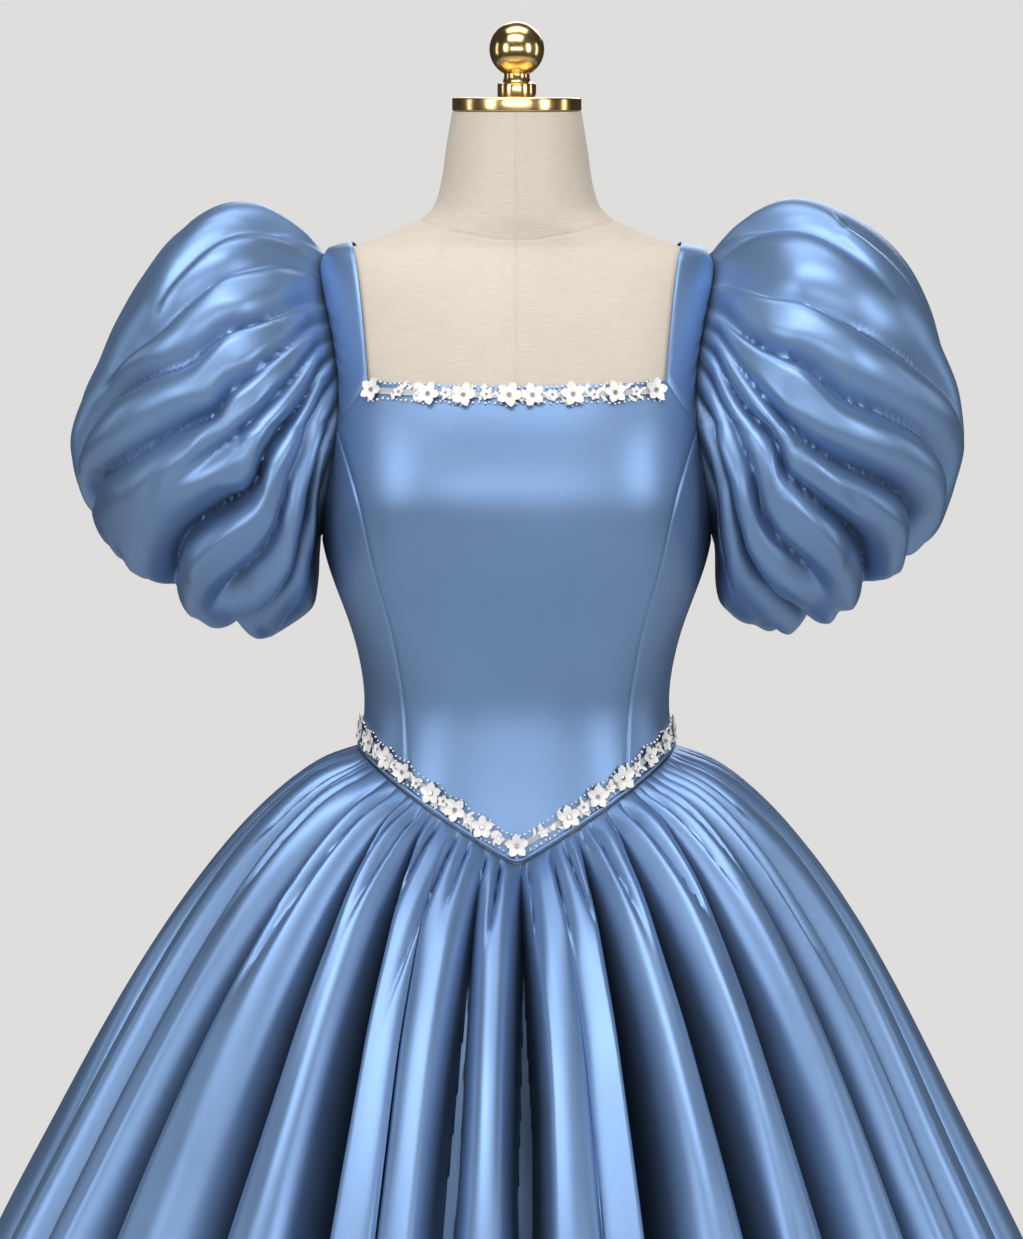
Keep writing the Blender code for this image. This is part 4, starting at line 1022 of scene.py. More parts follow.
def sleeve_depth(u, v, side, seed):
    flat = puff_surface(u, v, np.zeros_like(u), side)
    step = np.linalg.norm(np.roll(flat, -1, axis=1) - flat, axis=-1) / (2 * math.pi / u.shape[1])
    away_from_rings = smooth(u / 0.15) * (1 - smooth((u - 0.85) / 0.1))
    dents = DENT * ripple(v * DENT_WAVES[0], u * DENT_WAVES[1], seed + 5) - PUFF_OUT
    depths = [*main_creases(u, v, step, side), *small_creases(u, v, step, side, seed)]
    return blend_depths(depths) + dents * away_from_rings


print("small creases for each sleeve:", len(PINCHES["left"]) + SEAM_GATHERS + SOFT_WRINKLES)

# %% [markdown]
# ## Sewing the sleeves
# The rows of the grid crowd together near the armhole, where the cloth is most finely gathered.

# %% Sleeves
SLEEVE_COLUMNS, SLEEVE_ROWS = 480, 98
CROWDED, CROWDING = 0.45, 1.6


def sew_sleeve(side, mirror, seed):
    plain = np.linspace(0, 1, SLEEVE_ROWS)
    u = CROWDED * plain**CROWDING + (1 - CROWDED) * plain
    u, v = np.meshgrid(u, np.linspace(0, 2 * math.pi, SLEEVE_COLUMNS, endpoint=False), indexing="ij")
    outer = puff_surface(u, v, sleeve_depth(u, v, side, seed), side)
    normals = grid_normals(outer, around=True)
    if np.sum(normals * (outer - PUFF_MIDDLE)) < 0:
        outer, normals = outer[:, ::-1], -normals[:, ::-1]
    inner = outer - normals * SKIRT_SATIN
    name = f"sleeve_{side}"
    gown[name] = wall(f"{name}_satin", mirrored(outer, mirror), mirrored(inner, mirror), around=True)


sew_sleeve("left", 1, seed=11)
sew_sleeve("right", -1, seed=23)
print("sleeves:", triangles(gown["sleeve_left"], gown["sleeve_right"]), "triangles")

# %% [markdown]
# ## The cuffs
# Each sleeve ends in a narrow band that sits inside, under the puff. It is a short tube on the ring in
# which the sleeve's last row ends.

# %% Cuffs
CUFF_LENGTH, CUFF_SIDES, CUFF_ROWS, SEAM_GAP, CUFF_IN = 0.018, 96, 6, 0.0003, 0.4
QUARTER = CUFF_SIDES // 4
for side, mirror in SIDES:
    v = np.linspace(0, 2 * math.pi, CUFF_SIDES, endpoint=False)
    ring = puff_surface(np.ones_like(v), v, np.zeros_like(v), side)
    middle = ring.mean(axis=0)
    axis = unit(np.cross(ring[0] - ring[2 * QUARTER], ring[QUARTER] - ring[3 * QUARTER]))
    axis = axis * np.sign(np.dot(axis, middle - PUFF_MIDDLE))
    inward = unit(middle - ring)
    start = ring + axis * SEAM_GAP + inward * (SATIN * CUFF_IN)
    outer = start[None] + axis * CUFF_LENGTH * np.linspace(0, 1, CUFF_ROWS)[:, None, None]
    inner = outer + inward[None] * SATIN
    if np.sum(grid_normals(outer, around=True) * inward) > 0:
        outer, inner = outer[:, ::-1], inner[:, ::-1]
    name = f"cuff_{side}"
    gown[name] = wall(f"{name}_satin", mirrored(outer, mirror), mirrored(inner, mirror), around=True)
print("cuff ring about", round(float(np.linalg.norm(ring[0] - ring[2 * QUARTER])) * 1000), "mm across")

# %% [markdown]
# ## The skirt
# Seven panels are gathered into the waist seam. Close under it there are dozens of small gathers; a
# hand's width below they have run together into the deep folds that fall to the floor. So the depth
# is made in two layers: the 26 main valleys from a table, and the seam's gathers from a seeded draw.

# %% Skirt tables
Flare = namedtuple("Flare", "drop out")
SKIRT_FLARE = (
    Flare(0.000, 0.000),
    Flare(0.012, 0.033),
    Flare(0.030, 0.060),
    Flare(0.075, 0.105),
    Flare(0.160, 0.165),
    Flare(0.320, 0.251),
    Flare(0.400, 0.291),
    Flare(0.700, 0.428),
    Flare(1.055, 0.579),
)
Depth = namedtuple("Depth", "share deep")
SKIRT_FOLD_DEPTH = (
    Depth(0.00, 0.0004),
    Depth(0.03, 0.0070),
    Depth(0.08, 0.0150),
    Depth(0.20, 0.0300),
    Depth(0.40, 0.0470),
    Depth(0.70, 0.0600),
    Depth(1.00, 0.0700),
)
Valley = namedtuple("Valley", "waist hem deep")
SKIRT_VALLEYS = (
    Valley(-82, -79, 0.70),
    Valley(-70, -69, 0.95),
    Valley(-56, -57, 1.15),
    Valley(-46, -40, 1.05),
    Valley(-36, -25, 1.35),
    Valley(-26, -17, 0.12),
    Valley(-13, -9, 0.80),
    Valley(1.5, 3, 1.40),
    Valley(13, 12, 0.12),
    Valley(24, 19, 1.35),
    Valley(37, 33, 1.25),
    Valley(49, 45, 0.90),
    Valley(59, 56, 0.75),
    Valley(67, 66, 1.00),
    Valley(79, 78, 0.85),
    Valley(94, 94, 1.10),
    Valley(110, 109, 0.80),
    Valley(125, 126, 1.15),
    Valley(142, 142, 0.80),
    Valley(161, 160, 1.20),
    Valley(180, 180, 1.00),
    Valley(199, 200, 1.20),
    Valley(217, 218, 0.85),
    Valley(234, 233, 1.15),
    Valley(250, 249, 0.80),
    Valley(264, 265, 1.10),
)
SKIRT_PANELS = (
    ("skirt_front", 5, 8),
    ("skirt_side_front_left", 8, 13),
    ("skirt_side_left", 13, 17),
    ("skirt_back_left", 17, 20),
    ("skirt_back_right", 20, 23),
    ("skirt_side_right", 23, 27),
    ("skirt_side_front_right", 27, 31),
)
FRONT_SHELF = (
    Flare(0.000, 0.000),
    Flare(0.012, 0.012),
    Flare(0.030, 0.017),
    Flare(0.075, 0.017),
    Flare(0.160, 0.009),
    Flare(0.320, 0.000),
    Flare(1.055, 0.000),
)
print(len(SKIRT_VALLEYS), "valleys")

# %% [markdown]
# ## The skirt's outline
# The outline runs over the ridges of the folds: the waist seam's radius plus the flare. Under the V it
# stands out less, because the V's tip overhangs the gathers. Each fold lies between two valleys, which
# start close together at the waist and spread towards the hem.

# %% Skirt outline
SKIRT_OUT, SKIRT_UNDER = 0.0001, 0.0002
SHELF_FROM, SHELF_FADE = 0.55, 0.35
FLOOR_HALF, LEAST_FLOOR, MOST_FLOOR, RIDGE_START = math.radians(1.9), 0.03, 0.42, 0.92


def fold_valley(fold, floor):
    """1 in a fold's two valleys, whose flat floor takes up this share of it, rising steeply to 0 over
    its broad round ridge."""
    rise = 1 - np.abs(2 * fold - 1)
    return arch((rise - floor) / (RIDGE_START - floor))


def valley_angles(phase, share):
    """The angle at each phase: whole numbers are the valleys, which run from the waist to the hem."""
    count = len(SKIRT_VALLEYS)
    k = np.floor(phase).astype(int)
    begin = np.array([row.waist for row in SKIRT_VALLEYS], float)
    end = np.array([row.hem for row in SKIRT_VALLEYS], float)

    def at(index):
        return mix(begin[index % count], end[index % count], share) + 360.0 * (index // count)

    return np.radians(mix(at(k), at(k + 1), phase - k))


def skirt_base(turn, share):
    """The skirt's outline over the ridges of its folds: (radius, height). Under the V it falls more
    steeply than elsewhere."""
    top = waist_height(turn)
    drop = (top - HEM_Z) * share
    longest = SIDE_WAIST_Z - HEM_Z
    waist = form_radius(turn, top) + EASE + SATIN + SKIRT_OUT
    even_drop = drop * longest / (top - HEM_Z)
    out = read(SKIRT_FLARE, "drop", "out", even_drop)
    in_front = smooth((np.cos(turn) - SHELF_FROM) / SHELF_FADE)
    out = out - read(FRONT_SHELF, "drop", "out", even_drop) * in_front
    return waist + out, top - SKIRT_UNDER - drop


print("the front shelf takes off up to", max(row.out for row in FRONT_SHELF), "m")

# %% [markdown]
# ## The skirt's gathers and folds
# The depth under the outline is a soft maximum again. The gathers fade out a hand's width below the
# seam. The folds deepen all the way down, and their valleys have a narrow floor.

# %% Skirt surface
WAIST_GATHERS, GATHER_SHIFT = 58, (-0.32, 0.32)
GATHER_RANGES = ((-0.05, 0.05), (0.04, 0.16), (0.008, 0.013), (0.44, 0.58))
DRIFT_OVER, GATHER_BEFORE, GATHER_RISE = 0.2, 0.0012, 0.009
GATHER_LEAST, GATHER_GROWTH = 0.36, 2.0
SETTLED, SKIRT_LEAN, LEAN_OVER, FOLD_NECK = 0.35, 0.007, 0.4, 0.070
FOLD_BOOST, EARLY_BOOST, FOLD_SWAY, FOLD_BEGIN, FLOOR_BEGIN = 1.75, 0.5, 0.12, 0.3, 0.25
UNEVEN, UNEVEN_AROUND, UNEVEN_DOWN, HEM_BEGIN = 0.0045, 20.8, 1.1, 0.9
LEVEL_FROM, LEVEL_OVER = 0.05, 0.5
Gather = namedtuple("Gather", "place drift length deep wide")


def make_gathers(seed):
    """The seam's gathers, each a little different."""
    draw = np.random.default_rng(seed)
    places = (np.arange(WAIST_GATHERS) + draw.uniform(*GATHER_SHIFT, WAIST_GATHERS)) / WAIST_GATHERS
    return [Gather(2 * math.pi * p, *(draw.uniform(*r) for r in GATHER_RANGES)) for p in places]


GATHERS = make_gathers(31)
FOLD_SWAYS = np.random.default_rng(12).uniform(-1, 1, len(SKIRT_VALLEYS))


def gather_depths(turn, share, radius):
    spacing = 2 * math.pi / WAIST_GATHERS
    for g in GATHERS:
        away = np.angle(np.exp(1j * (turn - g.place - g.drift * share / DRIFT_OVER)))
        reach = window(share, -GATHER_BEFORE, g.length / 4, GATHER_RISE, g.length)
        profile = arch(np.abs(away) / (spacing * g.wide))
        yield g.deep * (GATHER_LEAST + GATHER_GROWTH * radius) * reach * profile


def fold_depths(phase, share, turn, width, radius):
    """How far the cloth lies under the outline. width is the angle from one valley to the next."""
    start = np.floor(phase).astype(int)
    deep = np.array([row.deep for row in SKIRT_VALLEYS])
    near = np.where(phase - start < 0.5, deep[start % len(deep)], deep[(start + 1) % len(deep)])
    boost = FOLD_BOOST * (1 + EARLY_BOOST * (1 - smooth(share / FOLD_BEGIN)))
    floor = FLOOR_HALF * near * smooth(share / FLOOR_BEGIN) / (width / 2)
    valley = fold_valley(phase - start, np.clip(floor, LEAST_FLOOR, MOST_FLOOR))
    main = boost * read(SKIRT_FOLD_DEPTH, "share", "deep", share) * near * valley
    soft = UNEVEN * ripple(turn / (2 * math.pi) * UNEVEN_AROUND, share * UNEVEN_DOWN, 3)
    soft = soft * smooth(share / FLOOR_BEGIN) * (1 - 0.5 * smooth((share - HEM_BEGIN) / (1 - HEM_BEGIN)))
    return blend_depths([main, *gather_depths(turn, share, radius)]) + soft


def skirt_surface(phase, share):
    """Points of the skirt. Whole numbers of phase are valleys, share runs from the waist to the hem."""
    settled = 1 - (1 - np.clip(share / SETTLED, 0, 1)) ** 2
    start = np.floor(phase)
    fold = phase - start
    width = valley_angles(start + 1, settled) - valley_angles(start, settled)
    sway = FOLD_SWAY * FOLD_SWAYS[start.astype(int) % len(FOLD_SWAYS)] * np.sin(math.pi * fold) ** 2
    shift = (sway - FOLD_NECK * np.sin(2 * math.pi * fold)) * width * smooth(share / FOLD_BEGIN)
    turn = valley_angles(phase, settled) + shift
    r, z = skirt_base(turn, share)
    r_low, z_low = skirt_base(turn, np.clip(share + SMALL_STEP, 0, 1))
    r_high, z_high = skirt_base(turn, np.clip(share - SMALL_STEP, 0, 1))
    length = np.hypot(z_high - z_low, r_low - r_high)
    out, up = (z_high - z_low) / length, (r_low - r_high) / length
    up = up * (1 - smooth((share - LEVEL_FROM) / LEVEL_OVER))
    depth = fold_depths(phase, share, turn, width, r) / np.hypot(out, up)
    r, z = r - depth * out, z - depth * up
    lean = SKIRT_LEAN * smooth(share / LEAN_OVER)
    return np.stack([r * np.sin(turn) - lean, -r * np.cos(turn), z], axis=-1)


print(WAIST_GATHERS, "gathers at the waist")

# %% [markdown]
# ## Sewing the skirt
# Each panel runs from valley to valley, so that its seams hide deep in the folds. Rows crowd together
# under the waist.

# %% Skirt panels
FOLD_COLUMNS, SKIRT_ROWS, SKIRT_CROWDING, PANEL_GAP = 32, 84, 1.7, 0.002
for name, first, last in SKIRT_PANELS:
    phase = np.linspace(first, last, (last - first) * FOLD_COLUMNS + 1)
    share, phase = np.meshgrid(np.linspace(0, 1, SKIRT_ROWS) ** SKIRT_CROWDING, phase, indexing="ij")
    phase = np.clip(phase, first + PANEL_GAP, last - PANEL_GAP)
    outer = skirt_surface(phase, share)[::-1]
    inner = outer - grid_normals(outer) * SKIRT_SATIN
    inner[0, :, 2] = outer[0, :, 2]
    gown[name] = wall(f"{name}_satin", outer, inner)
print("skirt:", triangles(*(gown[name] for name, _, _ in SKIRT_PANELS)), "triangles")

# %% [markdown]
# ## The waist binding
# A narrow folded strip of satin covers the waist seam under the flowers. Its section is half round.

# %% Binding
BINDING_LOW, BINDING_HIGH, BINDING_THICK, BINDING_FLATTER = 0.0006, 0.0041, 0.0012, 0.6
BACK_GAP = 0.03
binding_turn = np.linspace(-math.pi + BACK_GAP, math.pi - BACK_GAP, 361)
binding_share = np.linspace(0, 1, 7)[:, None]
turn, share = np.broadcast_arrays(binding_turn[None, :], binding_share)
half_round = np.sqrt(np.clip(1 - (2 * share - 1) ** 2, 0, 1))
round_rise = BINDING_THICK * (half_round - BINDING_FLATTER)
z = waist_height(turn) + mix(BINDING_LOW, BINDING_HIGH, share)
gown["waist_binding"] = fitted(
    "waist_binding_satin", turn, z, edges=(), lift=TRIM_LIFT, thick=BINDING_THICK, rise=round_rise
)
print("binding", BINDING_HIGH - BINDING_LOW, "m wide")

# %% [markdown]
# ## The linen form
# The form's cover is sewn from linen panels. Seams run down the middle of the front and back, down
# the sides and round the base of the neck, and each pulls a shallow groove into the padding. The grid
# has extra columns and rows at those seams, so that the grooves are real shape.

# %% Form cover
SEAM_GROOVE, SEAM_GROOVE_WIDTH = 0.0007, 0.0011
NECK_SEAM_FRONT_Z, NECK_SEAM_SIDE_Z = 1.4734, 1.488
FORM_UNDER_CLOTH = 0.0019
BODY_SEAMS = (0.0, math.pi / 2, math.pi, 3 * math.pi / 2)
HALF_STEPS = np.array((0.003, 0.007, 0.012, 0.018, 0.028, 0.05))
SEAM_STEPS = np.concatenate([-HALF_STEPS[::-1], [0.0], HALF_STEPS])
FORM_COLUMNS, SEAM_ROOM = 120, 0.06
FORM_ROWS = ((FORM_LOW, 1.464, 110), (1.465, 1.496, 42), (1.4985, FORM_TOP, 30))
CLOTH_ENDS_Z, UNDER_FADE, UV_RADIUS = 1.472, 0.02, 0.13


def neck_seam_height(turn):
    side = np.sin(turn) ** 2
    return np.where(np.cos(turn) > 0, mix(NECK_SEAM_FRONT_Z, NECK_SEAM_SIDE_Z, side), NECK_SEAM_SIDE_Z)


def seam_angle(turn):
    """The angle to the nearest of the body's upright seams."""
    return np.min(np.abs(np.angle(np.exp(1j * (turn[..., None] - np.array(BODY_SEAMS))))), axis=-1)


def form_grid():
    seams = np.concatenate([s + SEAM_STEPS for s in BODY_SEAMS])
    plain = np.linspace(0, 2 * math.pi, FORM_COLUMNS, endpoint=False)
    turn = np.sort(np.concatenate([seams, plain[seam_angle(plain) > SEAM_ROOM]]))
    return np.meshgrid(turn, np.concatenate([np.linspace(*part) for part in FORM_ROWS]))


turn, z = form_grid()
points = form_point(turn, z)
normals = grid_normals(points, around=True)
covered = (1 - smooth((z - CLOTH_ENDS_Z) / UNDER_FADE)) * smooth((z - FORM_LOW) / UNDER_FADE)
under = FORM_UNDER_CLOTH * covered
away = seam_angle(turn) * np.hypot(points[..., 0], points[..., 1])
groove = np.exp(-((away / SEAM_GROOVE_WIDTH) ** 2))
round_neck = np.exp(-(((z - neck_seam_height(turn)) / (SEAM_GROOVE_WIDTH * 0.8)) ** 2))
points = points - normals * (under + SEAM_GROOVE * np.maximum(groove, round_neck))[..., None]
count, wide = points.shape[:2]
index = np.arange(count * wide).reshape(count, wide)
after = np.roll(index, -1, axis=1)
faces = np.stack([index[:-1], after[:-1], after[1:], index[1:]], axis=-1).reshape(-1, 4).tolist()
faces += [index[0][::-1].tolist(), index[-1].tolist()]
around = np.append(turn[0], turn[0, 0] + 2 * math.pi) * UV_RADIUS
plane = np.stack(np.broadcast_arrays(around, z[:, :1]), axis=-1)
corners = [plane[:-1, :-1], plane[:-1, 1:], plane[1:, 1:], plane[1:, :-1]]
uvs = np.concatenate([np.stack(corners, axis=-2).reshape(-1, 2), np.zeros((2 * wide, 2))])
form_cover = mesh_object("form_linen", points.reshape(-1, 3), faces, uvs)
print("form cover:", triangles(form_cover), "triangles")

# %% [markdown]
# ## Turned metal
# The neck cap, its ball finial, the pole and the base are turned on a lathe, so each is one profile of
# radius and height spun round the middle. Rounded corners are what catch the light on polished brass.

# %% Cap, finial, pole and base
CAP_RADIUS, CAP_THICK, CAP_EDGE = 0.0512, 0.0107, 0.0016
BALL_RADIUS, BALL_Z, STEM_RADIUS, STEM_TALL, STEM_NECK = 0.0217, 0.0377, 0.0153, 0.0110, 0.0100
POLE_RADIUS, BASE_RADIUS, BASE_THICK, BASE_EDGE = 0.016, 0.190, 0.016, 0.004
COLLAR_RADIUS, COLLAR_TOP = 0.030, 0.045


def corner(radius, z, size, start, stop, steps=6):
    """A rounded corner of a profile: an arc about (radius, z)."""
    return [
        (radius + size * math.cos(a), z + size * math.sin(a))
        for a in np.radians(np.linspace(start, stop, steps))
    ]


cap_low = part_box("neck_cap")[0].z
cap_top = cap_low + CAP_THICK
cap_profile = (
    [(0.0, cap_low)]
    + corner(CAP_RADIUS - CAP_EDGE, cap_low + CAP_EDGE, CAP_EDGE, -90, 0)
    + corner(CAP_RADIUS - CAP_EDGE, cap_top - CAP_EDGE, CAP_EDGE, 0, 90)
    + [(CAP_RADIUS * 0.93, cap_top), (CAP_RADIUS * 0.90, cap_top - 0.0005), (0.0, cap_top - 0.0005)]
)
neck_cap = turned("neck_cap_gold", cap_profile)

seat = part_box("neck_finial")[0].z
neck_angle = math.asin(STEM_NECK / BALL_RADIUS)
ball = [
    (BALL_RADIUS * math.sin(a), seat + BALL_Z - BALL_RADIUS * math.cos(a))
    for a in np.linspace(neck_angle, math.pi, 40)
]
finial_profile = (
    [(0.0, seat)]
    + corner(STEM_RADIUS - 0.0006, seat + 0.0006, 0.0006, -90, 0, 4)
    + corner(STEM_RADIUS - 0.0010, seat + STEM_TALL - 0.0010, 0.0010, 0, 90, 5)
    + corner(STEM_RADIUS - 0.0015, seat + STEM_TALL + 0.0032, 0.0032, -90, -178, 8)
    + [(0.0101, seat + STEM_TALL + 0.0042)]
    + ball
)
finial = turned("neck_finial_gold", finial_profile)
pole_low, pole_high = (c.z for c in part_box("form_pole"))
pole_profile = [(0.0, pole_low), (POLE_RADIUS, pole_low), (POLE_RADIUS, pole_high), (0.0, pole_high)]
pole = turned("form_pole_iron", pole_profile)
base_profile = (
    [(0.0, 0.0), (BASE_RADIUS - BASE_EDGE, 0.0)]
    + corner(BASE_RADIUS - BASE_EDGE, BASE_EDGE, BASE_EDGE, -90, 0)
    + corner(BASE_RADIUS - BASE_EDGE, BASE_THICK - BASE_EDGE, BASE_EDGE, 0, 90)
    + [(COLLAR_RADIUS + 0.012, BASE_THICK + 0.003)]
    + corner(COLLAR_RADIUS + 0.008, BASE_THICK + 0.012, 0.0105, -90, -160, 6)
    + corner(COLLAR_RADIUS - 0.009, COLLAR_TOP - 0.003, 0.003, 0, 90, 5)
    + [(0.0, COLLAR_TOP)]
)
base = turned("form_base_iron", base_profile)
print("finial ball", round(BALL_RADIUS * 2000, 1), "mm across")

# %% [markdown]
# ## Motifs for the braid
# The appliqued braid repeats a few small shapes: a flower of five petals, a smaller one, a leaf, a
# pearl and a cut stone. Each is modelled once, with few faces, because it is repeated so often.

# %% Flower, leaf, pearl and stone
FLOWER_RADIUS, PETAL_WIDTH, PETAL_THICK = 0.0100, 0.0072, 0.0004
PETAL_MIDDLE, PETAL_HALF, PETAL_CUP, PETAL_RISE = 0.58, 0.44, 0.0007, 0.0024
SMALL_FLOWER = 0.55
LEAF_LONG, LEAF_WIDE, LEAF_CUP, LEAF_RISE, LEAF_STALK = 0.0085, 0.0034, -0.0005, 0.0008, 0.02


def petal_data(length, width, cup, rise, aim, inner=0.08):
    """One petal as a thin closed shell, pointing along the angle aim."""
    t = np.linspace(inner, 1.0, 5)[:, None]
    s = np.linspace(-1, 1, 4)[None, :]
    half = width / 2 * np.sqrt(np.clip(1 - ((t - PETAL_MIDDLE) / PETAL_HALF) ** 2, 0.05, 1))
    x = length * t - length * 0.05 * s * s * t
    y = half * s
    z = rise * t**1.4 + cup * s * s * np.sin(math.pi * t) + 0 * x
    c, s = math.cos(aim), math.sin(aim)
    top = np.stack([x * c - y * s, x * s + y * c, z], axis=-1)
    return wall_data(top[:, ::-1], top[:, ::-1] - np.array([0, 0, PETAL_THICK]))


def motif(name, parts):
    """Several shells joined in one mesh, kept out of the picture: only its copies are shown."""
    points, faces, start = [], [], 0
    for part_points, part_faces in parts:
        points.append(part_points)
        faces += [[i + start for i in face] for face in part_faces]
        start += len(part_points)
    return mesh_object(name, np.concatenate(points), faces)


def flower_parts(size, petals=5):
    """The petals of a flower, size times as large as the large one."""
    shape = FLOWER_RADIUS * size, PETAL_WIDTH * size, PETAL_CUP, PETAL_RISE * size
    return [petal_data(*shape, 2 * math.pi * k / petals)[:2] for k in range(petals)]


PEARL_PROFILE = [(math.sin(a), -math.cos(a)) for a in np.linspace(0, math.pi, 7)]
STONE_PROFILE = [(0.0, -0.5), (1.0, 0.0), (0.6, 0.45), (0.0, 0.45)]
leaf_shape = petal_data(LEAF_LONG, LEAF_WIDE, LEAF_CUP, LEAF_RISE, 0.0, inner=LEAF_STALK)
flower = motif("flower_motif", flower_parts(1.0))
small_flower = motif("small_flower_motif", flower_parts(SMALL_FLOWER))
leaf = motif("leaf_motif", [leaf_shape[:2]])
pearl = turned("pearl_motif", PEARL_PROFILE, sides=10)
stone = turned("stone_motif", STONE_PROFILE, sides=8, smooth_shade=False)
print("flower:", triangles(flower), "triangles, pearl:", triangles(pearl))

# %% [markdown]
# ## Strewing motifs along a seam
# Geometry Nodes put a motif on each point of a small point mesh. Every point carries which way the
# cloth faces, which way the seam runs and how large the copy is. The tree turns the motif to both,
# spins and sizes it a little at random from a fixed seed, and makes the copies real.

# %% Geometry Nodes tree for strewn motifs
def node(tree, kind, inputs=None, **settings):
    """Adds a node, sets what it is told, and links what is already a socket."""
    made = tree.nodes.new(kind)
    for key, value in settings.items():
        setattr(made, key, value)
    for key, value in (inputs or {}).items():
        if isinstance(value, bpy.types.NodeSocket):
            tree.links.new(value, made.inputs[key])
        else:
            made.inputs[key].default_value = value
    return made


def times(tree, a, b):
    return node(tree, "ShaderNodeMath", {0: a, 1: b}, operation="MULTIPLY").outputs[0]


def plus(tree, a, b):
    return node(tree, "ShaderNodeMath", {0: a, 1: b}, operation="ADD").outputs[0]


def new_geometry_tree(name, sockets):
    tree = bpy.data.node_groups.new(name, "GeometryNodeTree")
    tree.interface.new_socket("Geometry", in_out="INPUT", socket_type="NodeSocketGeometry")
    tree.interface.new_socket("Geometry", in_out="OUTPUT", socket_type="NodeSocketGeometry")
    for label, kind in sockets:
        tree.interface.new_socket(label, in_out="INPUT", socket_type=f"NodeSocket{kind}")
    return tree


def attribute(tree, name, kind):
    inputs = {"Name": name}
    return node(tree, "GeometryNodeInputNamedAttribute", inputs, data_type=kind).outputs["Attribute"]


def random_value(tree, low, high, seed):
    inputs = {2: low, 3: high, "Seed": seed}
    return node(tree, "FunctionNodeRandomValue", inputs, data_type="FLOAT").outputs[1]


def build_strewing():
    sockets = {"Motif": "Object", "Spin": "Float", "Smallest": "Float", "Seed": "Int", "Finish": "Material"}
    tree = new_geometry_tree("strewn_motifs", sockets.items())
    given = tree.nodes.new("NodeGroupInput").outputs
    shape = node(tree, "GeometryNodeObjectInfo", {"Object": given["Motif"]}).outputs["Geometry"]
    facing = attribute(tree, "facing", "FLOAT_VECTOR")
    along = attribute(tree, "along", "FLOAT_VECTOR")
    upright = node(tree, "FunctionNodeAlignRotationToVector", {"Vector": facing}, axis="Z").outputs[0]
    inputs = {"Rotation": upright, "Vector": along}
    aimed = node(tree, "FunctionNodeAlignRotationToVector", inputs, axis="X", pivot_axis="Z").outputs[0]
    size = random_value(tree, given["Smallest"], 1.0, given["Seed"])
    scale = times(tree, size, attribute(tree, "size", "FLOAT"))
    inputs = {"Points": given["Geometry"], "Instance": shape, "Rotation": aimed, "Scale": scale}
    copies = node(tree, "GeometryNodeInstanceOnPoints", inputs).outputs[0]
    spins = random_value(tree, times(tree, given["Spin"], -1.0), given["Spin"], given["Seed"])
    spin = node(tree, "ShaderNodeCombineXYZ", {"Z": spins}).outputs[0]
    spun = node(tree, "GeometryNodeRotateInstances", {"Instances": copies, "Rotation": spin}).outputs[0]
    real = node(tree, "GeometryNodeRealizeInstances", {"Geometry": spun}).outputs[0]
    done = node(tree, "GeometryNodeSetMaterial", {"Geometry": real, "Material": given["Finish"]}).outputs[0]
    tree.links.new(done, tree.nodes.new("NodeGroupOutput").inputs[0])
    return tree


strewing = build_strewing()
print("inputs:", [i.name for i in strewing.interface.items_tree if i.in_out == "INPUT"])

# %% [markdown]
# ## Running the tree
# The points carry their directions and sizes as attributes. The tree runs once on them, and its result
# is kept as a plain mesh.

# %% Strewing
def from_tree(name, carrier, tree, values):
    """Runs a Geometry Nodes tree on an object and keeps the result as a plain mesh."""
    modifier = carrier.modifiers.new("tree", "NODES")
    modifier.node_group = tree
    for item in tree.interface.items_tree:
        if item.in_out == "INPUT" and item.name in values:
            modifier[item.identifier] = values[item.name]
    bpy.context.view_layer.update()
    graph = bpy.context.evaluated_depsgraph_get()
    mesh = bpy.data.meshes.new_from_object(carrier.evaluated_get(graph))
    made = bpy.data.objects.new(name, mesh)
    scene.collection.objects.link(made)
    bpy.data.objects.remove(carrier)
    return made


def strewn(name, places, shape, finish, spin=0.0, smallest=1.0, seed=1):
    """places: rows of (point, facing, along, size)."""
    points, facing, along = (np.array([p[k] for p in places], float) for k in (0, 1, 2))
    size = np.array([p[3] for p in places], float)
    mesh = bpy.data.meshes.new(f"{name}_points")
    mesh.from_pydata(points.tolist(), [], [])
    for label, data in (("facing", facing), ("along", along)):
        kept = mesh.attributes.new(label, "FLOAT_VECTOR", "POINT").data
        kept.foreach_set("vector", data.astype(np.float32).ravel())
    mesh.attributes.new("size", "FLOAT", "POINT").data.foreach_set("value", size.astype(np.float32))
    carrier = bpy.data.objects.new(f"{name}_points", mesh)
    scene.collection.objects.link(carrier)
    values = {"Motif": shape, "Spin": spin, "Smallest": smallest, "Seed": seed, "Finish": finish}
    return from_tree(name, carrier, strewing, values)


print("motifs:", *(m.name for m in (flower, small_flower, leaf, pearl, stone)))

# %% [markdown]
# ## Weave and soft tone
# All the cloth here shares one effect: threads that run along and across the cloth, a few of them
# thicker than the rest. It is one shader group with named inputs, so that satin and linen only differ
# in numbers. It reads the cloth's own UV map, which is in metres.

# %% Shader groups
def new_shader_group(name, inputs, outputs):
    tree = bpy.data.node_groups.new(name, "ShaderNodeTree")
    for label, kind, value in inputs:
        socket = tree.interface.new_socket(label, in_out="INPUT", socket_type=f"NodeSocket{kind}")
        if value is not None:
            socket.default_value = value
    for label in outputs:
        tree.interface.new_socket(label, in_out="OUTPUT", socket_type="NodeSocketFloat")
    return tree, tree.nodes.new("NodeGroupInput").outputs, tree.nodes.new("NodeGroupOutput").inputs


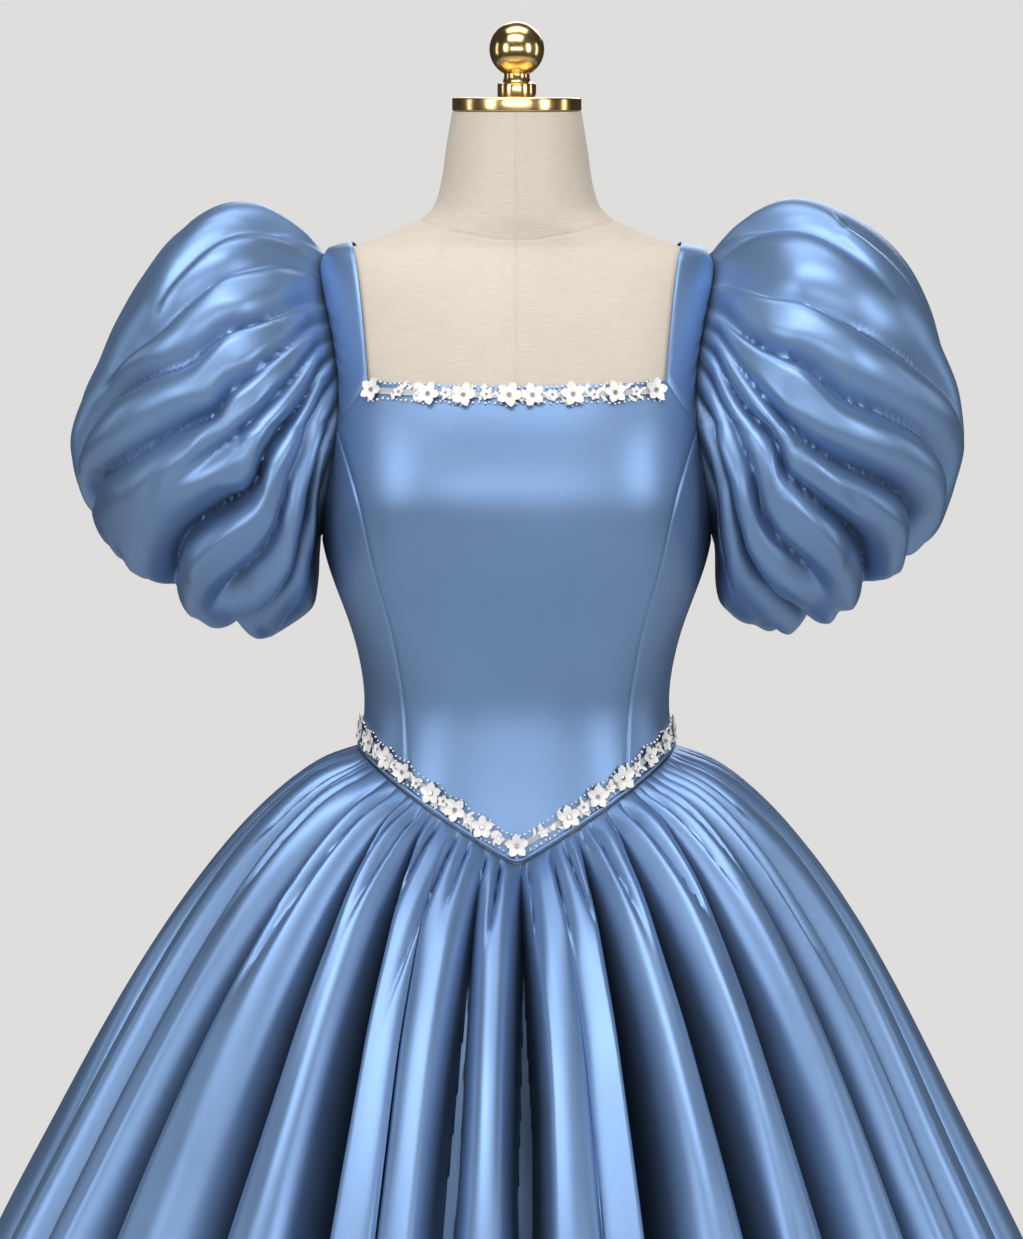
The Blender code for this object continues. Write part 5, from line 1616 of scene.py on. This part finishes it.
def stretched_noise(tree, place, along, across, detail=1.0):
    """Noise in two dimensions that is drawn out into threads."""
    scale = node(tree, "ShaderNodeCombineXYZ", {"X": along, "Y": across})
    where = node(tree, "ShaderNodeVectorMath", {0: place, 1: scale.outputs[0]}, operation="MULTIPLY")
    inputs = {"Vector": where.outputs[0], "Scale": 1.0, "Detail": detail}
    return node(tree, "ShaderNodeTexNoise", inputs, noise_dimensions="2D").outputs[0]


def build_woven():
    tree, given, out = new_shader_group(
        "woven_threads",
        [("Place", "Vector", None), ("Threads", "Float", 900.0), ("Slub", "Float", 0.5)],
        ["Height", "Tone"],
    )
    threads = given["Threads"]
    long_way = times(tree, threads, 0.03)
    warp = stretched_noise(tree, given["Place"], threads, long_way)
    weft = stretched_noise(tree, given["Place"], long_way, threads)
    slub = stretched_noise(tree, given["Place"], times(tree, threads, 0.02), times(tree, threads, 0.4), 2.0)
    weave = plus(tree, times(tree, warp, 0.5), times(tree, weft, 0.5))
    tree.links.new(plus(tree, weave, times(tree, slub, given["Slub"])), out["Height"])
    tree.links.new(slub, out["Tone"])
    return tree


def build_uneven():
    """A slow uneven tone over a surface, for handling marks and shading of the dye."""
    tree, given, out = new_shader_group(
        "uneven_tone", [("Place", "Vector", None), ("Size", "Float", 0.10)], ["Tone"]
    )
    per_metre = node(tree, "ShaderNodeMath", {0: 1.0, 1: given["Size"]}, operation="DIVIDE")
    noise = node(
        tree, "ShaderNodeTexNoise", {"Vector": given["Place"], "Scale": per_metre.outputs[0], "Detail": 3.0}
    )
    tree.links.new(noise.outputs[0], out["Tone"])
    return tree


woven, uneven = build_woven(), build_uneven()
print("shader groups:", woven.name, uneven.name)

# %% [markdown]
# ## Satin, linen and tape
# Satin's long floating threads make it smooth, so it mirrors broad soft lights in its own colour, and
# goes nearly black where a fold turns away. A part of metal in the surface gives most of that, and
# painted shade darkens the satin's colour deep in its folds. Linen is the other end: dull, with thick
# threads that show.

# %% Cloth materials
Cloth = namedtuple("Cloth", "dark pale threads slub tone_share rough bump metal specular sheen")
CLOTHS = {
    "satin": Cloth(
        (0.175, 0.290, 0.510), (0.205, 0.335, 0.570), 2600, 0.1, 0.15, (0.40, 0.46), 0.02, 0.72, 0.50, 0.0
    ),
    "tape": Cloth(
        (0.070, 0.145, 0.320), (0.110, 0.215, 0.430), 1600, 0.2, 0.30, (0.55, 0.65), 0.30, 0.0, 0.40, 0.0
    ),
    "linen": Cloth(
        (0.540, 0.470, 0.390), (0.620, 0.555, 0.475), 2200, 0.3, 0.45, (0.85, 0.95), 0.30, 0.0, 0.25, 0.15
    ),
    "lace": Cloth(
        (0.400, 0.400, 0.420), (0.560, 0.560, 0.580), 1500, 0.4, 0.50, (0.55, 0.70), 0.40, 0.0, 0.40, 0.10
    ),
}
BUMP_DISTANCE = 0.0004


def new_material(name):
    material = bpy.data.materials.new(name)
    material.use_nodes = True
    return material, material.node_tree, material.node_tree.nodes["Principled BSDF"]


def ranged(tree, value, low, high):
    inputs = {"Value": value, "From Min": 0.3, "From Max": 0.7, "To Min": low, "To Max": high}
    return node(tree, "ShaderNodeMapRange", inputs).outputs[0]


def two_tones(tree, share, dark, pale):
    inputs = {0: share, 6: (*dark, 1.0), 7: (*pale, 1.0)}
    return node(tree, "ShaderNodeMix", inputs, data_type="RGBA").outputs[2]


HOLLOW_REACH, HOLLOW_SHADE = 0.05, 0.20


def painted_hollow_shade(tree, colour):
    """The colour with painted shade: darker where the cloth close by covers the sky, as deep in a fold."""
    open_sky = node(tree, "ShaderNodeAmbientOcclusion", {"Distance": HOLLOW_REACH}, samples=4).outputs["AO"]
    limits = {"Value": open_sky, "From Min": 0.12, "From Max": 0.62, "To Min": HOLLOW_SHADE, "To Max": 1.0}
    share = node(tree, "ShaderNodeMapRange", limits).outputs[0]
    inputs = {0: 1.0, 6: colour, 7: share}
    return node(tree, "ShaderNodeMix", inputs, data_type="RGBA", blend_type="MULTIPLY").outputs[2]


def cloth_material(name, cloth):
    material, tree, surface = new_material(name)
    place = node(tree, "ShaderNodeUVMap", uv_map="cloth").outputs[0]
    threads = node(
        tree,
        "ShaderNodeGroup",
        {"Place": place, "Threads": float(cloth.threads), "Slub": cloth.slub},
        node_tree=woven,
    )
    slow = node(tree, "ShaderNodeGroup", {"Place": place, "Size": 0.12}, node_tree=uneven)
    tone = plus(
        tree,
        times(tree, threads.outputs["Tone"], cloth.tone_share),
        times(tree, slow.outputs["Tone"], 1 - cloth.tone_share),
    )
    links = tree.links
    colour = two_tones(tree, ranged(tree, tone, 0.0, 1.0), cloth.dark, cloth.pale)
    # painted shade: only the satin's colour is darkened where its own folds hide the sky
    if cloth.metal > 0:
        colour = painted_hollow_shade(tree, colour)
    links.new(colour, surface.inputs["Base Color"])
    links.new(ranged(tree, slow.outputs["Tone"], *cloth.rough), surface.inputs["Roughness"])
    bump = node(
        tree,
        "ShaderNodeBump",
        {"Strength": cloth.bump, "Distance": BUMP_DISTANCE, "Height": threads.outputs["Height"]},
    )
    links.new(bump.outputs[0], surface.inputs["Normal"])
    surface.inputs["Metallic"].default_value = cloth.metal
    surface.inputs["Specular IOR Level"].default_value = cloth.specular
    surface.inputs["Sheen Weight"].default_value = cloth.sheen
    surface.inputs["Sheen Roughness"].default_value = 0.4
    return material


satin, tape, linen, lace = (cloth_material(f"{word}_cloth", CLOTHS[word]) for word in CLOTHS)
print("cloths:", *CLOTHS)

# %% [markdown]
# ## Metal, petals, pearls and stones
# The finial and cap are polished brass: a smooth metal with faint smears. The stand is dark painted
# iron. Petals are thin white satin, pearls are glossy, and the stones are grey-pink glass with flat
# facets, which sparkle because each facet mirrors another part of the room.

# %% Hard finishes
Hard = namedtuple("Hard", "dark pale size rough metal specular coat")
HARDS = {
    "polished_gold": Hard((0.700, 0.470, 0.190), (0.860, 0.630, 0.290), 0.020, (0.16, 0.24), 1.0, 0.5, 0.0),
    "painted_iron": Hard((0.020, 0.020, 0.022), (0.045, 0.045, 0.048), 0.010, (0.38, 0.52), 0.3, 0.5, 0.15),
    "petal_satin": Hard((0.760, 0.740, 0.720), (0.900, 0.885, 0.870), 0.006, (0.38, 0.52), 0.0, 0.6, 0.0),
    "pearl": Hard((0.720, 0.690, 0.670), (0.880, 0.860, 0.840), 0.003, (0.15, 0.25), 0.0, 0.7, 0.5),
    "cut_stone": Hard((0.360, 0.300, 0.300), (0.640, 0.570, 0.570), 0.002, (0.06, 0.14), 0.55, 0.8, 0.3),
    "sewing_thread": Hard((0.080, 0.160, 0.340), (0.130, 0.240, 0.460), 0.002, (0.45, 0.60), 0.0, 0.5, 0.0),
}


def hard_material(name, finish):
    material, tree, surface = new_material(name)
    place = node(tree, "ShaderNodeTexCoord").outputs["Object"]
    slow = node(tree, "ShaderNodeGroup", {"Place": place, "Size": finish.size}, node_tree=uneven)
    links = tree.links
    tone = ranged(tree, slow.outputs["Tone"], 0.0, 1.0)
    links.new(two_tones(tree, tone, finish.dark, finish.pale), surface.inputs["Base Color"])
    links.new(ranged(tree, slow.outputs["Tone"], *finish.rough), surface.inputs["Roughness"])
    surface.inputs["Metallic"].default_value = finish.metal
    surface.inputs["Specular IOR Level"].default_value = finish.specular
    surface.inputs["Coat Weight"].default_value = finish.coat
    return material


gold, iron, petal, pearl_gloss, stone_glass, thread = (hard_material(word, HARDS[word]) for word in HARDS)
print("hard finishes:", *HARDS)

# %% [markdown]
# ## The flowered braids
# One braid edges the square neckline and one follows the waist's V all the way round. Each is a
# narrow lace band that carries flowers, leaves, pearls and stones. The front flowers stand where the
# real ones do; the rest follow at the same uneven spacing. Every motif's point lies on the band, with
# the direction that the cloth faces there.

# %% Braid paths
NECK_FLOWERS = (-0.111, -0.068, -0.041, -0.006, 0.012, 0.043, 0.075, 0.106)
WAIST_FLOWERS = (-0.1046, -0.090, -0.066, -0.047, -0.026, 0.0, 0.039, 0.062, 0.083, 0.107)
WAIST_FLOWER_STEP, BRAID_END = 0.027, 0.03
LACE_HALF, LACE_THICK = 0.0024, 0.0007
NECK_BRAID_MIDDLE, WAIST_BRAID_MIDDLE = -0.0075, 0.0135
Braid = namedtuple("Braid", "name height start stop")


def neck_braid_height(turn):
    x = form_radius(turn, NECKLINE_Z) * np.sin(turn)
    return neckline_height(x) + NECK_BRAID_MIDDLE


def waist_braid_height(turn):
    return waist_height(turn) + WAIST_BRAID_MIDDLE


neck_end = float(turn_at(STRAP_INNER_X_FOOT - 0.003, NECKLINE_Z, 1))
NECK_BRAID = Braid("neck", neck_braid_height, -neck_end, neck_end)
WAIST_BRAID = Braid("waist", waist_braid_height, -math.pi + BRAID_END, math.pi - BRAID_END)


def braid_point(braid, turn, across, rise):
    """A point on a braid, across metres above its middle line and rise metres over the satin."""
    turn = np.asarray(turn, float)
    here, ahead = (form_point(t, braid.height(t)) for t in (turn, turn + SMALL_STEP))
    along = unit(ahead - here)
    over = unit(np.cross(form_normal(turn, braid.height(turn)), along))
    z = braid.height(turn) + across * over[..., 2]
    sideways = unit(np.stack([np.cos(turn), np.sin(turn), 0 * turn], axis=-1))
    radius = np.hypot(here[..., 0], here[..., 1])
    shifted = turn + across * np.sum(over * sideways, axis=-1) / radius
    facing = form_normal(shifted, z)
    return form_point(shifted, z) + facing * (TRIM_LIFT + rise), facing, along, over


def braid_lengths(braid, count=2000):
    turn = np.linspace(braid.start, braid.stop, count)
    points = form_point(turn, braid.height(turn))
    return turn, np.concatenate([[0.0], np.cumsum(np.linalg.norm(np.diff(points, axis=0), axis=1))])


def lace_band(braid):
    turn = np.linspace(braid.start, braid.stop, 361 if braid is WAIST_BRAID else 121)
    across = np.linspace(-1, 1, 5)[:, None] * LACE_HALF
    points, facing, _, _ = braid_point(braid, turn[None, :] + 0 * across, across, LACE_THICK)
    return wall(f"{braid.name}_braid_lace", points, points - facing * LACE_THICK * 0.9)


bands = {braid.name: lace_band(braid) for braid in (NECK_BRAID, WAIST_BRAID)}
print("waist braid", round(float(braid_lengths(WAIST_BRAID)[1][-1]), 3), "m long")

# %% [markdown]
# ## Strewing the braids
# A seeded draw shifts, turns and sizes each motif a little, because hand-sewn braid is never regular.
# Leaves fan out in the gaps between the flowers, small flowers sit among them, and pearls run along
# both edges.

# %% Motifs on the braids
MOTIFS = {
    "flower": (flower, petal),
    "small": (small_flower, petal),
    "leaf": (leaf, petal),
    "pearl": (pearl, pearl_gloss),
    "stone": (stone, stone_glass),
}
ANY_WAY, TINY_SHIFT, SMALL_SHIFT = (0, 6.28), (-0.0006, 0.0006), (-0.0010, 0.0010)
FLOWER_RISE, FLOWER_SIZE, FLOWER_SPREAD, END_CLEAR = 0.0006, (0.9, 1.06), (0.86, 1.14), 0.012
SMALL_RISE, SMALL_SIZE, SMALL_GAP, LEAST_GAP = 0.0003, (0.8, 1.05), 0.017, 0.010
STONE_RADIUS, STONE_RISE, SMALL_STONE = 0.0021, 0.0012, 0.62
LEAF_GAP, LEAF_CLEAR, LEAST_LEAVES = 0.0040, 0.004, 3
LEAF_ACROSS, LEAF_ANGLE, LEAF_SIZE = (0.0005, 0.0028), (0.3, 1.5), (0.7, 1.0)
PEARL_STEP, PEARL_ROW, PEARL_RADIUS, PEARL_SUNK, PEARL_CLEAR = 0.0041, 0.0062, 0.00105, 0.55, 0.002
PEARL_BULGE, BULGE_REACH, PEARL_SIZE, PEARL_SPREAD = 0.0026, 0.006, (0.8, 1.15), (0.8, 1.25)


def flower_turns(braid, draw):
    """The directions in which the braid's large flowers stand."""
    if braid is NECK_BRAID:
        x = np.array(NECK_FLOWERS)
        return turn_at(x, neckline_height(x) + NECK_BRAID_MIDDLE, 1)
    front = [float(turn_at(x, SIDE_WAIST_Z - 0.03, 1)) for x in WAIST_FLOWERS]
    turn, length = braid_lengths(braid)
    found = list(front)
    for begin, way in ((front[-1], 1), (front[0], -1)):
        place = float(np.interp(begin, turn, length))
        while True:
            place += way * WAIST_FLOWER_STEP * draw.uniform(*FLOWER_SPREAD)
            if not END_CLEAR < place < length[-1] - END_CLEAR:
                break
            found.append(float(np.interp(place, length, turn)))
    return np.sort(np.array(found))


def placed(braid, turn, across, rise, angle, size):
    """Rows for strewn(): a motif on the braid whose x axis is turned by angle from its direction."""
    point, facing, along, over = braid_point(braid, turn, across, rise)
    return point, facing, along * math.cos(angle) + over * math.sin(angle), size


def strew_braid(braid, seed):
    draw = np.random.default_rng(seed)
    turn, length = braid_lengths(braid)
    blooms = flower_turns(braid, draw)
    found = {word: [] for word in MOTIFS}

    def put(word, t, across, rise, angle, size):
        found[word].append(placed(braid, t, across, rise, angle, size))

    def turn_of(place):
        return float(np.interp(place, length, turn))

    for t in blooms:
        shift, rise = draw.uniform(*TINY_SHIFT), LACE_THICK + FLOWER_RISE
        put("flower", t, shift, rise, draw.uniform(*ANY_WAY), draw.uniform(*FLOWER_SIZE))
        put("stone", t, shift, rise + STONE_RISE, draw.uniform(*ANY_WAY), STONE_RADIUS)
    at_bloom = np.interp(blooms, turn, length)
    ends = np.concatenate([[0.0], at_bloom, [length[-1]]])
    for begin, end in zip(ends, ends[1:]):
        gap, middle = end - begin, turn_of((begin + end) / 2)
        if gap < LEAST_GAP:
            continue
        if gap > SMALL_GAP:
            shift, rise = draw.uniform(*SMALL_SHIFT), LACE_THICK + SMALL_RISE
            put("small", middle, shift, rise, draw.uniform(*ANY_WAY), draw.uniform(*SMALL_SIZE))
            rise = LACE_THICK + STONE_RISE
            put("stone", middle, shift, rise, draw.uniform(*ANY_WAY), STONE_RADIUS * SMALL_STONE)
        for _ in range(max(LEAST_LEAVES, int(gap / LEAF_GAP))):
            t = turn_of(draw.uniform(begin + LEAF_CLEAR, end - LEAF_CLEAR))
            side = draw.choice((-1.0, 1.0))
            across = side * draw.uniform(*LEAF_ACROSS)
            angle = side * draw.uniform(*LEAF_ANGLE) + draw.choice((0.0, math.pi))
            put("leaf", t, across, LACE_THICK, angle, draw.uniform(*LEAF_SIZE))
    for side in (-1.0, 1.0):
        place = PEARL_CLEAR
        while place < length[-1] - PEARL_CLEAR:
            nearest = np.min(np.abs(at_bloom - place))
            reach = PEARL_ROW + PEARL_BULGE * math.exp(-((nearest / BULGE_REACH) ** 2))
            across = side * (reach + draw.uniform(*TINY_SHIFT))
            size = PEARL_RADIUS * draw.uniform(*PEARL_SIZE)
            put("pearl", turn_of(place), across, PEARL_RADIUS * PEARL_SUNK, 0.0, size)
            place += PEARL_STEP * draw.uniform(*PEARL_SPREAD)
    spread = {"spin": 0.1, "smallest": 0.94, "seed": seed}
    return [strewn(f"{braid.name}_braid_{word}", found[word], *MOTIFS[word], **spread) for word in MOTIFS]


braid_motifs = {"neck": strew_braid(NECK_BRAID, 5), "waist": strew_braid(WAIST_BRAID, 8)}
for word, made in braid_motifs.items():
    print(word, "braid:", [(m.name, triangles(m)) for m in made])

# %% [markdown]
# ## The concealed zip
# Behind, the bodice closes with a concealed zip: a narrow tape with its coil of teeth turned inside, so
# that only a fine ribbed line shows between the two panels. The teeth are one small block, copied
# along the seam by the same tree.

# %% Zip tape and teeth
ZIP_LOW, ZIP_HIGH, ZIP_THICK, TOOTH_STEP = BACK_WAIST_Z + 0.001, BACK_NECKLINE_Z - 0.002, 0.0010, 0.0017
zip_z = np.linspace(ZIP_LOW, ZIP_HIGH, 60)[:, None]
zip_x = np.linspace(1, -1, 7)[None, :] * (ZIP_HALF - 0.0003)
zip_x, zip_z = np.broadcast_arrays(zip_x, zip_z)
zip_turn = turn_at(zip_x, zip_z, -1)
zip_turn = np.where(zip_turn < 0, zip_turn + 2 * math.pi, zip_turn)
zip_rise = 0.0003 * np.cos(zip_x / ZIP_HALF * math.pi / 2) - 0.0003
zip_tape = fitted("zip_tape_blue", zip_turn, zip_z, edges=(), thick=ZIP_THICK, rise=zip_rise)
tooth = turned("tooth_motif", [(0.0, -0.5), (0.7, -0.4), (0.9, 0.0), (0.5, 0.4), (0.0, 0.5)], sides=8)
tooth_z = np.arange(ZIP_LOW + 0.002, ZIP_HIGH - 0.002, TOOTH_STEP)
tooth_turn = np.full_like(tooth_z, math.pi)
tooth_facing = form_normal(tooth_turn, tooth_z)
tooth_points = form_point(tooth_turn, tooth_z) + tooth_facing * (EASE + ZIP_THICK)
zip_teeth = strewn(
    "zip_teeth", [(p, f, (1.0, 0.0, 0.0), 0.00062) for p, f in zip(tooth_points, tooth_facing)], tooth, tape
)
print(len(tooth_z), "teeth")

# %% [markdown]
# ## The hem's stitches
# The hem is turned up and caught by hand with tiny stitches two fingers above its edge. They are too
# small to see from afar, but a close view finds them.

# %% Hem stitches
STITCH_STEP, STITCH_HEIGHT, STITCH_LONG, STITCH_THICK = 0.011, 0.022, 0.0030, 0.00045
stitch = turned(
    "stitch_motif", [(0.0, -0.5), (0.7, -0.42), (1.0, 0.0), (0.7, 0.42), (0.0, 0.5)], sides=6
)
for vertex in stitch.data.vertices:
    x, y, z = vertex.co
    vertex.co = (z * STITCH_LONG, y * STITCH_THICK / 2, x * STITCH_THICK / 2)
hem_phase = np.linspace(5, 31, 2601)
hem_share = np.full_like(hem_phase, 1 - STITCH_HEIGHT / (SIDE_WAIST_Z - HEM_Z))
hem_line = skirt_surface(hem_phase, hem_share)
hem_up = skirt_surface(hem_phase, hem_share - 0.004) - hem_line
hem_along = np.gradient(hem_line, axis=0)
hem_facing = unit(np.cross(hem_along, hem_up))
hem_length = np.concatenate([[0.0], np.cumsum(np.linalg.norm(np.diff(hem_line, axis=0), axis=1))])
picked = np.searchsorted(hem_length, np.arange(0.004, hem_length[-1], STITCH_STEP))
hem_stitches = strewn(
    "hem_stitches",
    [(hem_line[i] + hem_facing[i] * 0.0001, hem_facing[i], unit(hem_along[i]), 1.0) for i in picked],
    stitch,
    thread,
    spin=0.15,
)
print("the hem measures", round(float(hem_length[-1]), 2), "m and has", len(picked), "stitches")

# %% [markdown]
# ## Finishes on every piece
# Now each piece gets its finish. A cloth's wall keeps one material all round.

# %% Finishes
def finish_with(piece, material):
    piece.data.materials.clear()
    piece.data.materials.append(material)


for piece in gown.values():
    finish_with(piece, satin)
for band in bands.values():
    finish_with(band, lace)
finish_with(zip_tape, tape)
finish_with(form_cover, linen)
for piece in (neck_cap, finial):
    finish_with(piece, gold)
for piece in (pole, base):
    finish_with(piece, iron)

pale_floor, floor_tree, floor_surface = new_material("pale_floor")
floor_tone = node(floor_tree, "ShaderNodeTexNoise", {"Scale": 3.0}).outputs[0]
floor_colour = two_tones(floor_tree, floor_tone, (0.66, 0.655, 0.64), (0.70, 0.695, 0.68))
floor_tree.links.new(floor_colour, floor_surface.inputs["Base Color"])
floor_surface.inputs["Roughness"].default_value = 0.8
finish_with(floor, pale_floor)
for shape in (flower, small_flower, leaf, pearl, stone, tooth, stitch):
    bpy.data.objects.remove(shape)
print("materials:", len(bpy.data.materials))

# %% [markdown]
# ## What each piece of cloth was cut to
# A pattern cutter knows each panel's flat size before it is gathered or fitted. The table gives it in
# metres: width, length and, where the cut isn't a rectangle, its area.

# %% Cut sizes
Cut = namedtuple("Cut", "width length share held rests_on")
CUTS = {
    "bodice_front": Cut(0.290, 0.375, 0.78, "stretched", "form_torso"),
    "bodice_side_front": Cut(0.125, 0.300, 0.62, "stretched", "form_torso"),
    "bodice_side_back": Cut(0.130, 0.280, 0.74, "stretched", "form_torso"),
    "bodice_back": Cut(0.145, 0.330, 0.66, "stretched", "form_torso"),
    "strap_front": Cut(0.052, 0.150, 0.72, "hung", "form_torso"),
    "strap_back": Cut(0.056, 0.135, 0.75, "hung", "form_torso"),
    "sleeve": Cut(0.720, 0.400, 0.80, "gathered", "form_torso"),
    "cuff": Cut(0.018, 0.285, None, "gathered", "sleeve"),
    "skirt_front": Cut(0.680, 1.020, 0.74, "gathered", "waist"),
    "skirt_side_front": Cut(0.950, 1.090, 0.74, "gathered", "waist"),
    "skirt_side": Cut(1.000, 1.100, 0.74, "gathered", "waist"),
    "skirt_back": Cut(0.860, 1.080, 0.74, "gathered", "waist"),
    "waist_binding": Cut(0.010, 0.750, 0.38, "stretched", "form_torso"),
}


def cut_of(name):
    for word in sorted(CUTS, key=len, reverse=True):
        if name.startswith(word):
            return CUTS[word]
    raise KeyError(name)


def declare_cloth(name, piece):
    cut = cut_of(name)
    area = None if cut.share is None else cut.width * cut.length * cut.share
    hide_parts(name)
    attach(piece, "root")
    flat = area or cut.width * cut.length
    print(f"{name}: cloth {surface_area(piece):.4f} m2, cut {flat:.4f} m2")


for name, piece in gown.items():
    declare_cloth(name, piece)

# %% [markdown]
# ## Braids, zip, form and stand
# The remaining pieces stand for their own solids in the imported model, and all of them ride on its one
# body.

# %% The other pieces
BRAID_CUTS = {"neck": (0.010, 0.250), "waist": (0.010, 0.860)}
for word, (wide, long) in BRAID_CUTS.items():
    band, motifs = bands[word], braid_motifs[word]
    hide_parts(f"trim_{word}")
    print(f"{word} lace: {surface_area(band):.5f} m2")
    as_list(motifs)
    for piece in (band, *motifs):
        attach(piece, "root")
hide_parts("zip_back")
print(f"zip tape: {surface_area(zip_tape):.5f} m2")
for piece in (zip_tape, zip_teeth):
    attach(piece, "root")
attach(hem_stitches, "root")
HARD_PIECES = (
    (form_cover, "form_torso", "linen"),
    (neck_cap, "neck_cap", "polished_gold"),
    (finial, "neck_finial", "polished_gold"),
    (pole, "form_pole", "stand_iron"),
    (base, "form_base", "stand_iron"),
)
for piece, stands_for, slot_name in HARD_PIECES:
    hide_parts(stands_for)
    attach(piece, "root")

# %% [markdown]
# ## Sizes and the end
# The sizes of the dressed model and of the imported one are printed side by side. The
# dressed model must keep the size of the imported one.

# %% Finish
dressed_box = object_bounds()
sizes = {"cad": [list(c) for c in cad_box], "dressed": [list(c) for c in dressed_box]}
for word, corners in sizes.items():
    print(word, [[round(value, 4) for value in c] for c in corners])
